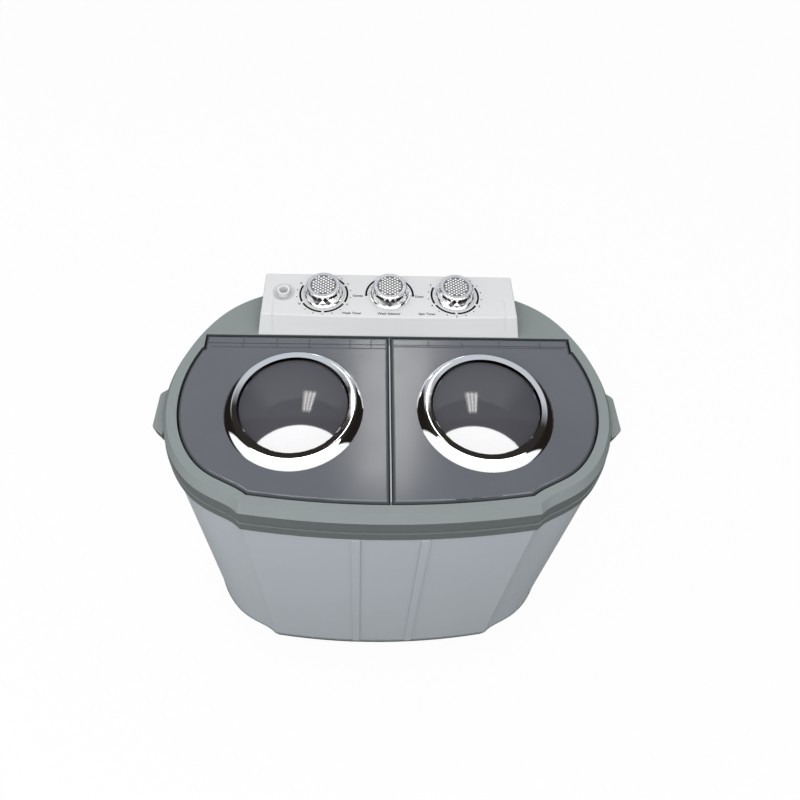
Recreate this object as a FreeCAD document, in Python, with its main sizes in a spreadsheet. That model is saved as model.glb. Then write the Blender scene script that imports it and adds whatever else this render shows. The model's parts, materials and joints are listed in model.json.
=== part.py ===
import FreeCAD, Part
import math
import os
import Sketcher

from FreeCAD import Vector

# Portable twin-tub washer and spin dryer, in millimetres.
# X runs to the right, the front faces -Y, Z is up. The origin is on the floor, under the middle.

# Driving sizes
SIZES = {
    # Cabinet
    "deck_height": 523.0,
    "tub_half_gap": 8.8,
    "tub_side_room": 55.2,
    "tub_front_room": 53.0,
    "tub_rear_room": 112.0,
    "front_corner_share": 0.611,
    "front_bow": 13.0,
    "wall": 2.5,
    "running_gap": 0.3,
    "overrun": 5.0,
    # Top frame
    "rim_height": 45.0,
    "band_height": 15.0,
    "chamfer_height": 8.0,
    "band_draft": 0.4,
    "ledge_inset": 2.2,
    "shoulder_inset": 3.0,
    "top_inset_front": 13.0,
    "top_inset_side": 8.0,
    "top_inset_rear": 3.0,
    "skirt_inset": 4.6,
    "deck_thickness": 18.0,
    "recess_depth": 15.0,
    "seam_rib_width": 2.0,
    "seam_rib_drop": 3.0,
    "timer_room": 3.0,
    "lug_reach": 7.0,
    "lug_root": 15.0,
    "lug_face_length": 49.0,
    "lug_end_slope": 12.0,
    "lug_shift": 3.0,
    "lug_drop": 12.0,
    "lug_draft": 1.5,
    "lug_corner_radius": 6.0,
    "lug_edge_radius": 1.6,
    # Lids
    "lid_inset_front": 24.5,
    "lid_inset_side": 22.5,
    "lid_inset_rear": 21.5,
    "lid_gap": 1.8,
    "seam_gap": 3.6,
    "lid_skirt": 12.0,
    "lid_rear_skirt": 9.0,
    "lid_edge_radius": 4.0,
    "lid_panel_gap": 3.0,
    "lid_notch_step": 2.5,
    "lid_notch_length": 22.0,
    "lid_groove_gap": 7.0,
    "lid_groove_width": 1.4,
    "lid_groove_depth": 0.8,
    # Lid hinges
    "hinge_rear_gap": 6.5,
    "hinge_drop": 7.0,
    "hinge_notch_gap": 45.5,
    "hinge_inner_place": 55.0,
    "knuckle_radius": 4.0,
    "knuckle_width": 10.0,
    "hinge_side_gap": 0.5,
    "hinge_pin_radius": 2.0,
    "pin_fit": 0.08,
    "ear_width": 3.0,
    "ear_depth": 8.0,
    "ear_height": 8.5,
    # Window rings and windows
    "lid_hole_radius": 80.0,
    "ring_fit": 0.4,
    "ring_flange": 7.0,
    "ring_bevel_inset": 7.8,
    "ring_bevel_drop": 2.1,
    "ring_turn_inset": 9.6,
    "ring_turn_drop": 0.55,
    "ring_crest_inset": 12.0,
    "ring_sleeve_wall": 5.6,
    "ring_sleeve_depth": 5.0,
    "ring_lip_width": 2.2,
    "ring_lip": 0.5,
    "ring_crest_height": 12.0,
    "ring_seat_drop": 4.2,
    "window_seat": 6.6,
    "window_rise": 8.5,
    "window_thickness": 2.0,
    # Cabinet shell
    "shell_inset": 3.0,
    "shell_base_inset": 7.0,
    "shell_neck_inset": 5.2,
    "shell_shoulder_gap": 2.0,
    "front_rib_width": 11.0,
    "front_rib_spacing": 84.0,
    "front_rib_place": 1.5,
    "front_rib_relief": 1.6,
    "front_rib_top_gap": 10.0,
    # Base pan and feet
    "foot_height": 12.0,
    "foot_radius": 18.0,
    "foot_top_radius": 15.0,
    "foot_side_inset": 88.0,
    "foot_end_inset": 75.5,
    "foot_peg_radius": 5.0,
    "foot_peg_height": 6.0,
    "pan_height": 32.0,
    "pan_floor": 3.0,
    "pan_inset": 5.4,
    "pan_base_inset": 12.0,
    "pan_wall": 3.0,
    "pan_lip_height": 10.0,
    "pan_lip_gap": 0.4,
    "pan_slot_length": 60.0,
    "pan_slot_width": 6.0,
    "pan_slot_pitch": 16.0,
    # Rear service cover
    "cover_half_width": 112.0,
    "cover_foot_gap": 4.0,
    "cover_height": 232.0,
    "cover_margin": 12.0,
    "cover_thickness": 2.4,
    "louvre_length": 130.0,
    "louvre_height": 5.0,
    "louvre_pitch": 13.0,
    "screw_radius": 2.0,
    "screw_head_radius": 4.0,
    "screw_head_height": 2.2,
    # Control panel
    "panel_rear_margin": 2.5,
    "panel_depth": 91.0,
    "panel_slope": 16.0,
    "panel_side_lean": 3.8,
    "panel_height": 25.0,
    "panel_bow": 3.5,
    "panel_edge_radius": 2.4,
    "panel_groove_inset": 16.0,
    "panel_groove_length": 30.0,
    "panel_groove_foot": 4.0,
    "panel_groove_width": 2.0,
    "panel_groove_depth": 0.8,
    "dial_spacing": 91.5,
    "dial_end_room": 87.3,
    "dial_rear_gap": 37.5,
    # Knobs
    "knob_base_radius": 28.8,
    "knob_base_height": 3.6,
    "knob_base_margin": 2.2,
    "knob_lean": 3.6,
    "knob_cap_lip": 1.4,
    "knob_skirt_height": 12.4,
    "knob_cap_height": 2.4,
    "knob_cap_edge": 0.9,
    "knob_gap": 0.4,
    "knob_shaft_radius": 4.0,
    "shaft_fit": 0.06,
    "knob_shaft_depth": 34.0,
    "knob_socket_depth": 12.0,
    # Timers and selector under the panel
    "timer_width": 48.0,
    "timer_depth": 40.0,
    "timer_height": 33.0,
    "timer_case_edge": 4.0,
    "selector_width": 30.0,
    "selector_shaft_depth": 48.0,
    "selector_height": 12.0,
    "cam_radius": 22.0,
    "cam_thickness": 6.0,
    "cam_rise": 8.0,
    "cam_arm_gap": 1.2,
    # Water inlet
    "inlet_end_gap": 28.0,
    "inlet_shift": 2.0,
    "inlet_dish_radius": 15.5,
    "inlet_dish_depth": 1.2,
    "inlet_tube_radius": 8.5,
    "inlet_bore_radius": 6.0,
    "inlet_rise": 5.0,
    "inlet_drop": 62.0,
    "inlet_bend": 14.0,
    # Wash tub
    "wash_half_width": 112.0,
    "wash_half_depth": 98.0,
    "wash_corner_radius": 46.0,
    "wash_floor_radius": 18.0,
    "tub_draw": 4.0,
    "mouth_lip": 4.0,
    "tub_flange": 5.0,
    "tub_flange_thickness": 3.0,
    # Pulsator and its bearing
    "pulsator_side_gap": 16.0,
    "pulsator_thickness": 4.0,
    "pulsator_hub_radius": 20.0,
    "pulsator_height": 26.0,
    "pulsator_gap": 2.5,
    "pulsator_rib_width": 13.0,
    "pulsator_rib_height": 15.0,
    "bearing_radius": 17.0,
    "bearing_flange_radius": 27.0,
    "bearing_flange_height": 4.0,
    "bearing_length": 30.0,
    "wash_shaft_radius": 5.0,
    # Belt drive
    "pulley_gap": 6.0,
    "tub_pulley_gap": 53.0,
    "pulley_height": 14.0,
    "wash_pulley_radius": 70.0,
    "motor_pulley_radius": 22.0,
    "pulley_groove_depth": 6.0,
    "pulley_flange": 2.0,
    "belt_thickness": 5.0,
    "belt_shoulder": 1.6,
    "belt_gap": 0.35,
    "pulley_hub_radius": 12.0,
    "pulley_web": 4.0,
    "lightening_hole_radius": 14.0,
    "lightening_hole_place": 38.0,
    "motor_rear_gap": 35.5,
    # Motors
    "motor_radius": 46.0,
    "motor_cap_height": 18.0,
    "motor_cap_radius": 38.0,
    "motor_boss_radius": 16.0,
    "motor_boss_height": 6.0,
    "stator_width": 92.0,
    "stator_height": 34.0,
    "stator_corner": 14.0,
    "bracket_rise": 12.0,
    "bracket_thickness": 3.0,
    "bracket_width": 100.0,
    "bracket_boss_radius": 7.0,
    # Spin side
    "spin_tub_step": 8.0,
    "spin_mouth_margin": 4.0,
    "spin_hub_radius": 24.0,
    "basket_side_gap": 11.0,
    "basket_floor_gap": 21.0,
    "basket_lid_room": 17.0,
    "basket_wall": 1.5,
    "basket_floor_radius": 14.0,
    "basket_hole_radius": 4.0,
    "basket_hole_count": 16,
    "basket_hole_rows": 6,
    "basket_hole_margin": 51.0,
    "basket_ring_height": 20.0,
    "basket_ring_depth": 13.0,
    "basket_hub_radius": 16.0,
    "basket_hub_height": 30.0,
    "spin_shaft_radius": 5.0,
    "drum_radius": 42.0,
    "drum_height": 18.0,
    "drum_wall": 4.0,
    "drum_gap": 5.0,
    "seal_height": 16.0,
    "seal_wall": 2.0,
    "spin_plate_radius": 80.0,
    "mount_height": 26.0,
    "mount_radius": 11.0,
    "mount_waist": 7.5,
    "mount_place": 66.0,
    # Brake
    "brake_post_x": 60.0,
    "brake_post_y": -36.0,
    "brake_post_radius": 4.0,
    "brake_arm_width": 9.0,
    "brake_arm_reach": 88.0,
    "brake_arm_height": 8.0,
    "brake_shoe_gap": 2.3,
    "brake_shoe_width": 16.0,
    "brake_shoe_height": 12.0,
    # Drain
    "drain_pipe_radius": 9.0,
    "drain_pipe_wall": 2.0,
    "drain_bend": 16.0,
    "valve_side_gap": 35.2,
    "valve_rear_gap": 58.5,
    "valve_radius": 22.0,
    "valve_drop": 61.0,
    "valve_height": 56.0,
    "valve_wall": 3.0,
    "valve_port_height": 34.0,
    "valve_stub": 8.0,
    "wash_port_gap": 38.5,
    "spin_port_gap": 24.2,
    "outlet_collar_radius": 14.0,
    "outlet_collar_width": 2.6,
    "plug_radius": 15.0,
    "plug_height": 11.0,
    "rod_radius": 2.0,
    # Electrics
    "capacitor_width": 46.0,
    "capacitor_depth": 30.0,
    "capacitor_height": 56.0,
    "capacitor_x": 20.0,
    "capacitor_rear_gap": 62.5,
    "gland_x": 60.0,
    "gland_radius": 7.0,
    "gland_flange_radius": 11.0,
    "gland_flange_width": 2.6,
    "gland_bore": 3.6,
    "switch_place_x": 82.0,
    "switch_rear_gap": 72.5,
    "switch_width": 28.0,
    "switch_depth": 14.0,
    "switch_height": 12.0,
    "cable_rear_gap": 88.5,
    "cable_radius": 2.0,
    "cable_gap": 0.6,
    # Lint filter
    "filter_width": 54.0,
    "filter_height": 96.0,
    "filter_depth": 16.0,
    "filter_wall": 2.0,
    "filter_drop": 70.0,
}

# Right side of the cabinet seen from above, from the front corner round to the middle of the back,
# as shares of half the rim's width and of half its depth
SIDE_SHARES = [
    (0.646, -0.884), (0.705, -0.838), (0.806, -0.748), (0.906, -0.580), (0.978, -0.330),
    (1.000, -0.080), (0.985, 0.160), (0.915, 0.460), (0.762, 0.765), (0.560, 0.922),
    (0.290, 0.984), (0.000, 1.000),
]

KNOB_FACETS = 20
SPIN_PORT_TURN_SHARE = 0.36
TINY_SHARE = 1e-6


class Size:
    """A named size or a sum of them: its value, and the sheet formula that gives it."""

    def __init__(self, value, formula):
        self.value = float(value)
        self.formula = formula

    @staticmethod
    def of(other):
        return other if isinstance(other, Size) else Size(other, repr(float(other)))

    def join(self, sign, other, value):
        return Size(value, f"({self.formula} {sign} {Size.of(other).formula})")

    def __add__(self, other):
        return self.join("+", other, self.value + Size.of(other).value)

    def __sub__(self, other):
        return self.join("-", other, self.value - Size.of(other).value)

    def __mul__(self, other):
        return self.join("*", other, self.value * Size.of(other).value)

    def __truediv__(self, other):
        return self.join("/", other, self.value / Size.of(other).value)

    def __neg__(self):
        return Size(-self.value, f"(0 - {self.formula})")

    def __float__(self):
        return self.value


class Sheet:
    """The sheet of driving sizes; each attribute is one named size."""

    def __init__(self, doc):
        self.cells = doc.addObject("Spreadsheet::Sheet", "Sizes")
        for row, (name, value) in enumerate(SIZES.items(), start=1):
            self.cells.set(f"A{row}", name)
            self.cells.set(f"B{row}", str(value))
            self.cells.setAlias(f"B{row}", name)
        doc.recompute()

    def __getattr__(self, name):
        return Size(self.cells.get(name), f"Sizes.{name}")


doc = FreeCAD.newDocument("washer")
d = Sheet(doc)
parts = []

# Places worked out from the driving sizes
ZERO = Size(0, "0")
tub_x = d.tub_half_gap + d.wash_half_width
tub_place = (d.tub_front_room - d.tub_rear_room) / 2
rim_half_width = tub_x + d.wash_half_width + d.tub_side_room
rim_depth = d.wash_half_depth * 2 + d.tub_front_room + d.tub_rear_room
half_width = rim_half_width + d.lug_reach
half_depth = rim_depth / 2
rim_bottom = d.deck_height - d.rim_height
recess_floor = d.deck_height - d.recess_depth
deck_under = d.deck_height - d.deck_thickness
lid_under = d.deck_height - d.wall
pan_top = d.foot_height + d.pan_height
pan_floor_top = d.foot_height + d.pan_floor
panel_top = d.deck_height + d.panel_height
panel_rear = half_depth - d.panel_rear_margin
panel_front = panel_rear - d.panel_depth
panel_crease = panel_front + d.panel_slope
panel_half_width = d.dial_spacing + d.dial_end_room
panel_top_half_width = panel_half_width - d.panel_side_lean
panel_window_width = (d.dial_spacing + d.timer_width / 2 + d.timer_room) * 2
panel_window_depth = d.timer_depth + d.timer_room * 2
dial_place = panel_rear - d.dial_rear_gap
inlet_place_x = panel_top_half_width - d.inlet_end_gap
inlet_place_y = dial_place + d.inlet_shift
lid_rear = panel_front - d.lid_panel_gap
hinge_place = lid_rear - d.hinge_rear_gap
hinge_height = d.deck_height - d.hinge_drop
ring_radius = d.lid_hole_radius + d.ring_flange
ring_sleeve_radius = d.lid_hole_radius - d.ring_fit
ring_seat_radius = ring_sleeve_radius - d.ring_sleeve_wall
ring_mouth_radius = ring_seat_radius - d.window_seat
ring_seat_height = d.ring_crest_height - d.ring_seat_drop
knob_skirt_radius = d.knob_base_radius - d.knob_base_margin
knob_cap_radius = knob_skirt_radius - d.knob_lean
motor_height = d.motor_cap_height * 2 + d.stator_height
wash_motor_place = half_depth - d.motor_rear_gap - d.bracket_width / 2
wash_motor_bottom = pan_floor_top + d.bracket_rise + d.bracket_thickness
spin_motor_bottom = pan_floor_top + d.mount_height + d.bracket_thickness
pulley_bottom = wash_motor_bottom + motor_height + d.motor_boss_height + d.pulley_gap
tub_bottom = pulley_bottom + d.tub_pulley_gap
pulsator_radius = d.wash_half_depth - d.pulsator_side_gap
spin_tub_radius = d.wash_half_width - d.spin_tub_step
basket_radius = spin_tub_radius - d.basket_side_gap
spin_mouth_radius = basket_radius + d.spin_mouth_margin
basket_bottom = tub_bottom + d.basket_floor_gap
basket_top = deck_under - d.basket_ring_height - d.basket_lid_room
cover_bottom = pan_top + d.cover_foot_gap
outlet_height = cover_bottom + d.cover_margin + d.outlet_collar_radius
valve_place_x = d.wash_half_width - tub_x - d.valve_side_gap
valve_place_y = half_depth - d.valve_rear_gap
valve_bottom = tub_bottom - d.valve_drop
wash_port_y = tub_place + d.wash_half_depth - d.wash_port_gap
spin_port_reach = spin_tub_radius - d.spin_port_gap
spin_port_x = tub_x + spin_port_reach * math.cos(2 * math.pi * SPIN_PORT_TURN_SHARE)
spin_port_y = tub_place + spin_port_reach * math.sin(2 * math.pi * SPIN_PORT_TURN_SHARE)
cable_place = half_depth - d.cable_rear_gap


# Bodies, sketches and features

def keep(item, label):
    """Name a finished sub-part and list it for export."""
    item.Label = label
    parts.append(item)
    return item


def bind_place(item, x=ZERO, y=ZERO, z=ZERO):
    """Tie an object's place to the sheet."""
    for axis, size in zip("xyz", (x, y, z)):
        item.setExpression(f"Placement.Base.{axis}", Size.of(size).formula)


def new_body(label, x=ZERO, y=ZERO, z=ZERO):
    body = doc.addObject("PartDesign::Body", label)
    bind_place(body, x, y, z)
    return keep(body, label)


def origin_feature(body, role):
    return next(item for item in body.Origin.OriginFeatures if item.Role == role)


def new_sketch(body, plane, height=ZERO):
    """An empty sketch on one of the body's own planes, moved along its normal."""
    sketch = body.newObject("Sketcher::SketchObject", f"{body.Name}_sketch")
    sketch.AttachmentSupport = [(origin_feature(body, plane), "")]
    sketch.MapMode = "FlatFace"
    sketch.setExpression("AttachmentOffset.Base.z", Size.of(height).formula)
    return sketch


def pin_point(sketch, curve, end, x, y):
    """Tie one point of a curve to the sheet, measured from the sketch's origin."""
    for kind, size in (("DistanceX", Size.of(x)), ("DistanceY", Size.of(y))):
        index = sketch.addConstraint(Sketcher.Constraint(kind, -1, 1, curve, end, size.value))
        sketch.setExpression(f"Constraints[{index}]", size.formula)


def start_and_end(sketch, curve, first):
    """Which ends of a curve come first and last along the path."""
    start = sketch.getPoint(curve, 1)
    end = sketch.getPoint(curve, 2)
    return (1, 2) if start.distanceToPoint(first) <= end.distanceToPoint(first) else (2, 1)


def draw(sketch, path, closed=True):
    """Straight sides and arcs through the corners of a path.

    A corner is (x, y). A corner (x, y, "via") is a point that an arc passes through
    on its way from the corner before to the corner after.
    """
    corners = [item for item in path if len(item) == 2]
    vias = {}
    count = 0
    for item in path:
        if len(item) == 2:
            count += 1
        else:
            vias[count - 1] = item
    sides = len(corners) if closed else len(corners) - 1
    ends = []
    for side in range(sides):
        x0, y0 = corners[side]
        x1, y1 = corners[(side + 1) % len(corners)]
        first = Vector(float(x0), float(y0), 0)
        last = Vector(float(x1), float(y1), 0)
        if side in vias:
            middle = Vector(float(vias[side][0]), float(vias[side][1]), 0)
            curve = sketch.addGeometry(Part.Arc(first, middle, last), False)
        else:
            curve = sketch.addGeometry(Part.LineSegment(first, last), False)
        ends.append((curve,) + start_and_end(sketch, curve, first))
    for side, (curve, first, last) in enumerate(ends):
        pin_point(sketch, curve, first, *corners[side])
        if side + 1 < sides or closed:
            follower, follower_first, _ = ends[(side + 1) % sides]
            sketch.addConstraint(
                Sketcher.Constraint("Coincident", curve, last, follower, follower_first))
        else:
            pin_point(sketch, curve, last, *corners[side + 1])
    for side, via in vias.items():
        middle = Vector(float(via[0]), float(via[1]), 0)
        point = sketch.addGeometry(Part.Point(middle), True)
        pin_point(sketch, point, 1, via[0], via[1])
        sketch.addConstraint(Sketcher.Constraint("PointOnObject", point, 1, ends[side][0]))
    return sketch


def draw_circle(sketch, radius, x=ZERO, y=ZERO):
    size = Size.of(radius)
    centre = Vector(float(x), float(y), 0)
    curve = sketch.addGeometry(Part.Circle(centre, Vector(0, 0, 1), size.value), False)
    pin_point(sketch, curve, 3, x, y)
    index = sketch.addConstraint(Sketcher.Constraint("Radius", curve, size.value))
    sketch.setExpression(f"Constraints[{index}]", size.formula)
    return sketch


def box_path(x0, x1, y0, y1):
    return [(x0, y0), (x1, y0), (x1, y1), (x0, y1)]


def feature(body, kind, profile):
    item = body.newObject(f"PartDesign::{kind}", f"{body.Name}_{kind}")
    item.Profile = profile
    return item


def pad(body, sketch, length, reverse=False):
    item = feature(body, "Pad", sketch)
    item.Reversed = reverse
    item.setExpression("Length", Size.of(length).formula)
    doc.recompute()
    return item


def must_cut(body, before, item):
    """A cut that points away from the solid shows no error, so its volume is compared."""
    if body.Shape.Volume >= before * (1 - TINY_SHARE * TINY_SHARE):
        raise RuntimeError(f"{item.Name} cuts nothing")
    return item


def pocket(body, sketch, length, reverse=False):
    before = body.Shape.Volume
    item = feature(body, "Pocket", sketch)
    item.Reversed = reverse
    item.setExpression("Length", Size.of(length).formula)
    doc.recompute()
    return must_cut(body, before, item)


def revolve(body, sketch):
    item = feature(body, "Revolution", sketch)
    item.ReferenceAxis = (sketch, ["V_Axis"])
    item.Angle = 360
    doc.recompute()
    return item


def polar(body, original, count):
    """Repeat a feature evenly round the body's vertical axis."""
    item = body.newObject("PartDesign::PolarPattern", f"{body.Name}_round")
    item.Originals = [original]
    item.Axis = (origin_feature(body, "Z_Axis"), [""])
    item.Angle = 360
    item.Occurrences = int(float(count))
    body.Tip = item
    doc.recompute()
    return item


def fillet(body, base, radius, chosen):
    """Round the edges of a feature that the test picks."""
    names = [f"Edge{i}" for i, edge in enumerate(base.Shape.Edges, start=1) if chosen(edge)]
    item = body.newObject("PartDesign::Fillet", f"{body.Name}_fillet")
    item.Base = (base, names)
    item.setExpression("Radius", Size.of(radius).formula)
    doc.recompute()
    return item


def turned(label, path, x=ZERO, y=ZERO, z=ZERO):
    """A body of revolution about a vertical axis at (x, y), drawn as radius and height."""
    body = new_body(label, x, y, z)
    revolve(body, draw(new_sketch(body, "XZ_Plane"), path))
    return body


def upright(edge):
    """True for an edge that runs mostly up."""
    span = edge.BoundBox
    return span.ZLength > span.XLength + span.YLength and span.ZLength > float(d.wall)


def level_at(height):
    """A test for edges that lie at one height."""
    def test(edge):
        span = edge.BoundBox
        near = float(d.wall) * TINY_SHARE * 1e3
        return abs(span.ZMax - float(height)) < near and abs(span.ZMin - float(height)) < near
    return test


# Plain solids, for forms that no feature fits

def box(x0, x1, y0, y1, z0, z1):
    size = [float(b) - float(a) for a, b in ((x0, x1), (y0, y1), (z0, z1))]
    return Part.makeBox(*size, Vector(float(x0), float(y0), float(z0)))


def rod(radius, length, x, y, z, direction=Vector(0, 0, 1)):
    start = Vector(float(x), float(y), float(z))
    return Part.makeCylinder(float(radius), float(length), start, direction)


def solid_part(label, shape):
    item = doc.addObject("Part::Feature", label)
    item.Shape = shape
    item.Placement = FreeCAD.Placement()
    return keep(item, label)


def group_part(label, shapes):
    return solid_part(label, Part.makeCompound(shapes))


# The plan outline of the cabinet, drawn in by an inset at the front, sides and rear

def side_points():
    half_width = float(rim_half_width)
    half_depth = float(rim_depth) / 2
    corner = Vector(
        float(d.front_corner_share) * half_width, float(d.front_bow) - half_depth, 0)
    round_side = [Vector(x * half_width, y * half_depth, 0) for x, y in SIDE_SHARES]
    return [corner] + round_side


def side_curve(points, reach=1.0):
    curve = Part.BSplineCurve()
    curve.interpolate(Points=points, FinalTangent=Vector(-reach, 0, 0))
    return curve


def inset_at(normal, insets):
    """The inset where the outline faces a given way."""
    front, side, rear = (float(inset) for inset in insets)
    ahead = max(0.0, -normal.y) ** 2
    behind = max(0.0, normal.y) ** 2
    return front * ahead + rear * behind + side * (1 - ahead - behind)


def corner_point(corner, front_normal, side_normal, insets):
    """Where the inset front and the inset side meet."""
    front_by = inset_at(front_normal, insets)
    side_by = inset_at(side_normal, insets)
    cross = front_normal.x * side_normal.y - front_normal.y * side_normal.x
    x = (front_by * side_normal.y - side_by * front_normal.y) / cross
    y = (side_by * front_normal.x - front_by * side_normal.x) / cross
    return Vector(corner.x - x, corner.y - y, 0)


def inset_side(insets):
    """The points of the right side, drawn in."""
    points = side_points()
    curve = side_curve(points, float(rim_half_width))
    bow = float(d.front_bow)
    half_chord = points[0].x
    radius = (half_chord ** 2 + bow ** 2) / (2 * bow)
    front_normal = Vector(half_chord, bow - radius, 0).normalize()
    drawn = []
    for index, point in enumerate(points):
        tangent = curve.tangent(curve.parameter(point))[0]
        normal = Vector(tangent.y, -tangent.x, 0).normalize()
        if index == 0:
            drawn.append(corner_point(point, front_normal, normal, insets))
        else:
            drawn.append(point - normal * inset_at(normal, insets))
    drawn[-1].x = 0
    return drawn


def outline(insets, height):
    """The closed outline at a height: the bowed front, the right side and the left side."""
    level = Vector(0, 0, float(height))
    right = [point + level for point in inset_side(insets)]
    left = [Vector(-point.x, point.y, point.z) for point in right]
    front_middle = Vector(0, float(insets[0]) - float(rim_depth) / 2, float(height))
    front = Part.Arc(left[0], front_middle, right[0])
    right_curve = Part.BSplineCurve()
    right_curve.interpolate(Points=right, FinalTangent=Vector(-float(rim_half_width), 0, 0))
    left_curve = Part.BSplineCurve()
    left_curve.interpolate(Points=left[::-1], InitialTangent=Vector(-float(rim_half_width), 0, 0))
    return Part.Wire([front.toShape(), right_curve.toShape(), left_curve.toShape()])


def even(inset):
    return (inset, inset, inset)


def grow(insets, amount):
    return tuple(Size.of(inset) + amount for inset in insets)


def block(bottom, top, low_insets, high_insets):
    """A solid between the outline at one height and the outline at another."""
    wires = [outline(low_insets, bottom), outline(high_insets, top)]
    return Part.makeLoft(wires, True, True)


lid_insets = (d.lid_inset_front, d.lid_inset_side, d.lid_inset_rear)
top_insets = (d.top_inset_front, d.top_inset_side, d.top_inset_rear)


# Top frame

def side_place(insets, y):
    """How far out the drawn-in outline lies at y."""
    line = Part.makeLine(Vector(0, float(y), 0), Vector(float(half_width), float(y), 0))
    return outline(insets, ZERO).distToShape(line)[1][0][0].x


lid_notch_front = lid_rear - d.lid_notch_length
lid_notch_place = side_place(lid_insets, lid_notch_front) - float(d.lid_notch_step)
hinge_outer_place = lid_notch_place - float(d.hinge_notch_gap)


def lid_plan(hand, grow_by, bottom, top):
    """One lid's plan as a solid, grown by a gap: straight beside its hinge, curved in front."""
    insets = grow(lid_insets, -grow_by)
    seam = d.seam_gap / 2 - grow_by
    split = lid_notch_front + grow_by
    low, high = sorted((hand * float(seam), hand * float(half_width)))
    front = block(bottom, top, insets, insets).common(
        box(low, high, -half_depth, split, bottom, top))
    low, high = sorted((hand * float(seam), hand * (lid_notch_place + float(grow_by))))
    return front.fuse(box(low, high, split, lid_rear + grow_by, bottom, top)).removeSplitter()


def lug_wire(hand, inset, height):
    """The grip's plan: a straight outer face with slanted ends."""
    outer = half_width - inset
    root = half_width - d.lug_root
    half_face = d.lug_face_length / 2 - inset
    half_root = half_face + d.lug_end_slope
    middle = tub_place + d.lug_shift
    corners = [
        Vector(hand * float(x), float(middle + y), float(height))
        for x, y in (
            (root, -half_root), (outer, -half_face), (outer, half_face), (root, half_root))]
    return Part.makePolygon(corners + corners[:1])


def handle_lug(hand):
    """A grip that stands out of the rim above its ledge, with rounded outer corners."""
    bottom = rim_bottom + d.band_height
    top = d.deck_height - d.lug_drop
    shape = Part.makeLoft(
        [lug_wire(hand, d.lug_draft, bottom), lug_wire(hand, ZERO, top)], True, True)
    reach = float(half_width - d.lug_root)
    outer = [
        edge for edge in shape.Edges
        if upright(edge) and abs(edge.CenterOfMass.x) > reach + float(d.lug_draft)]
    shape = shape.makeFillet(float(d.lug_corner_radius), outer)
    rim = [
        edge for edge in shape.Edges
        if level_at(top)(edge) and abs(edge.CenterOfMass.x) > reach + float(d.lug_draft)]
    return shape.makeFillet(float(d.lug_edge_radius), rim)


def knuckle(place):
    """One fixed hinge knuckle on the floor of the lid recess, with its bore."""
    start = place - float(d.knuckle_width) / 2
    along = Vector(1, 0, 0)
    eye = rod(d.knuckle_radius, d.knuckle_width, start, hinge_place, hinge_height, along)
    stand = box(
        start, start + float(d.knuckle_width), hinge_place - d.knuckle_radius,
        hinge_place + d.knuckle_radius / 2, recess_floor - d.wall / 2, hinge_height)
    bore = rod(
        d.hinge_pin_radius, d.knuckle_width, start, hinge_place, hinge_height, along)
    return eye.fuse(stand).cut(bore)


def hinge_places(hand):
    return [hand * hinge_outer_place, hand * float(d.hinge_inner_place)]


def rounded_block(half_x, half_y, radius, x, y, bottom, top):
    shape = box(x - half_x, x + half_x, y - half_y, y + half_y, bottom, top)
    return shape.makeFillet(float(radius), [edge for edge in shape.Edges if upright(edge)])


def make_top_frame():
    ledge = rim_bottom + d.band_height
    shoulder = d.deck_height - d.chamfer_height
    shape = block(rim_bottom, ledge, even(ZERO), even(d.band_draft))
    shape = shape.fuse([
        block(ledge, shoulder, even(d.ledge_inset), even(d.shoulder_inset)),
        block(shoulder, d.deck_height, even(d.shoulder_inset), top_insets)])
    shape = shape.fuse([handle_lug(-1), handle_lug(1)])
    skirt = even(d.skirt_inset)
    shape = shape.cut(block(rim_bottom - d.overrun, deck_under, skirt, skirt))
    above = d.deck_height + d.overrun
    for hand in (-1, 1):
        shape = shape.cut(lid_plan(hand, d.lid_gap, recess_floor, above))
    below = deck_under - d.overrun
    shape = shape.cut(rounded_block(
        d.wash_half_width - d.mouth_lip, d.wash_half_depth - d.mouth_lip,
        d.wash_corner_radius - d.mouth_lip, -tub_x, tub_place, below, above))
    shape = shape.cut(rod(spin_mouth_radius, above - below, tub_x, tub_place, below))
    shape = shape.cut(box(
        -panel_window_width / 2, panel_window_width / 2,
        dial_place - panel_window_depth / 2, dial_place + panel_window_depth / 2,
        below, above))
    shape = shape.cut(rod(
        d.inlet_tube_radius + d.running_gap, above - below, -inlet_place_x, inlet_place_y,
        below))
    rib = box(
        -d.seam_rib_width / 2, d.seam_rib_width / 2, d.lid_inset_front - half_depth - d.lid_gap,
        lid_rear + d.lid_gap, recess_floor - d.wall / 2, d.deck_height - d.seam_rib_drop)
    knuckles = [knuckle(place) for hand in (-1, 1) for place in hinge_places(hand)]
    return solid_part("top_frame", shape.fuse([rib] + knuckles).removeSplitter())


# Lids, their window rings, windows and hinge pins

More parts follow.
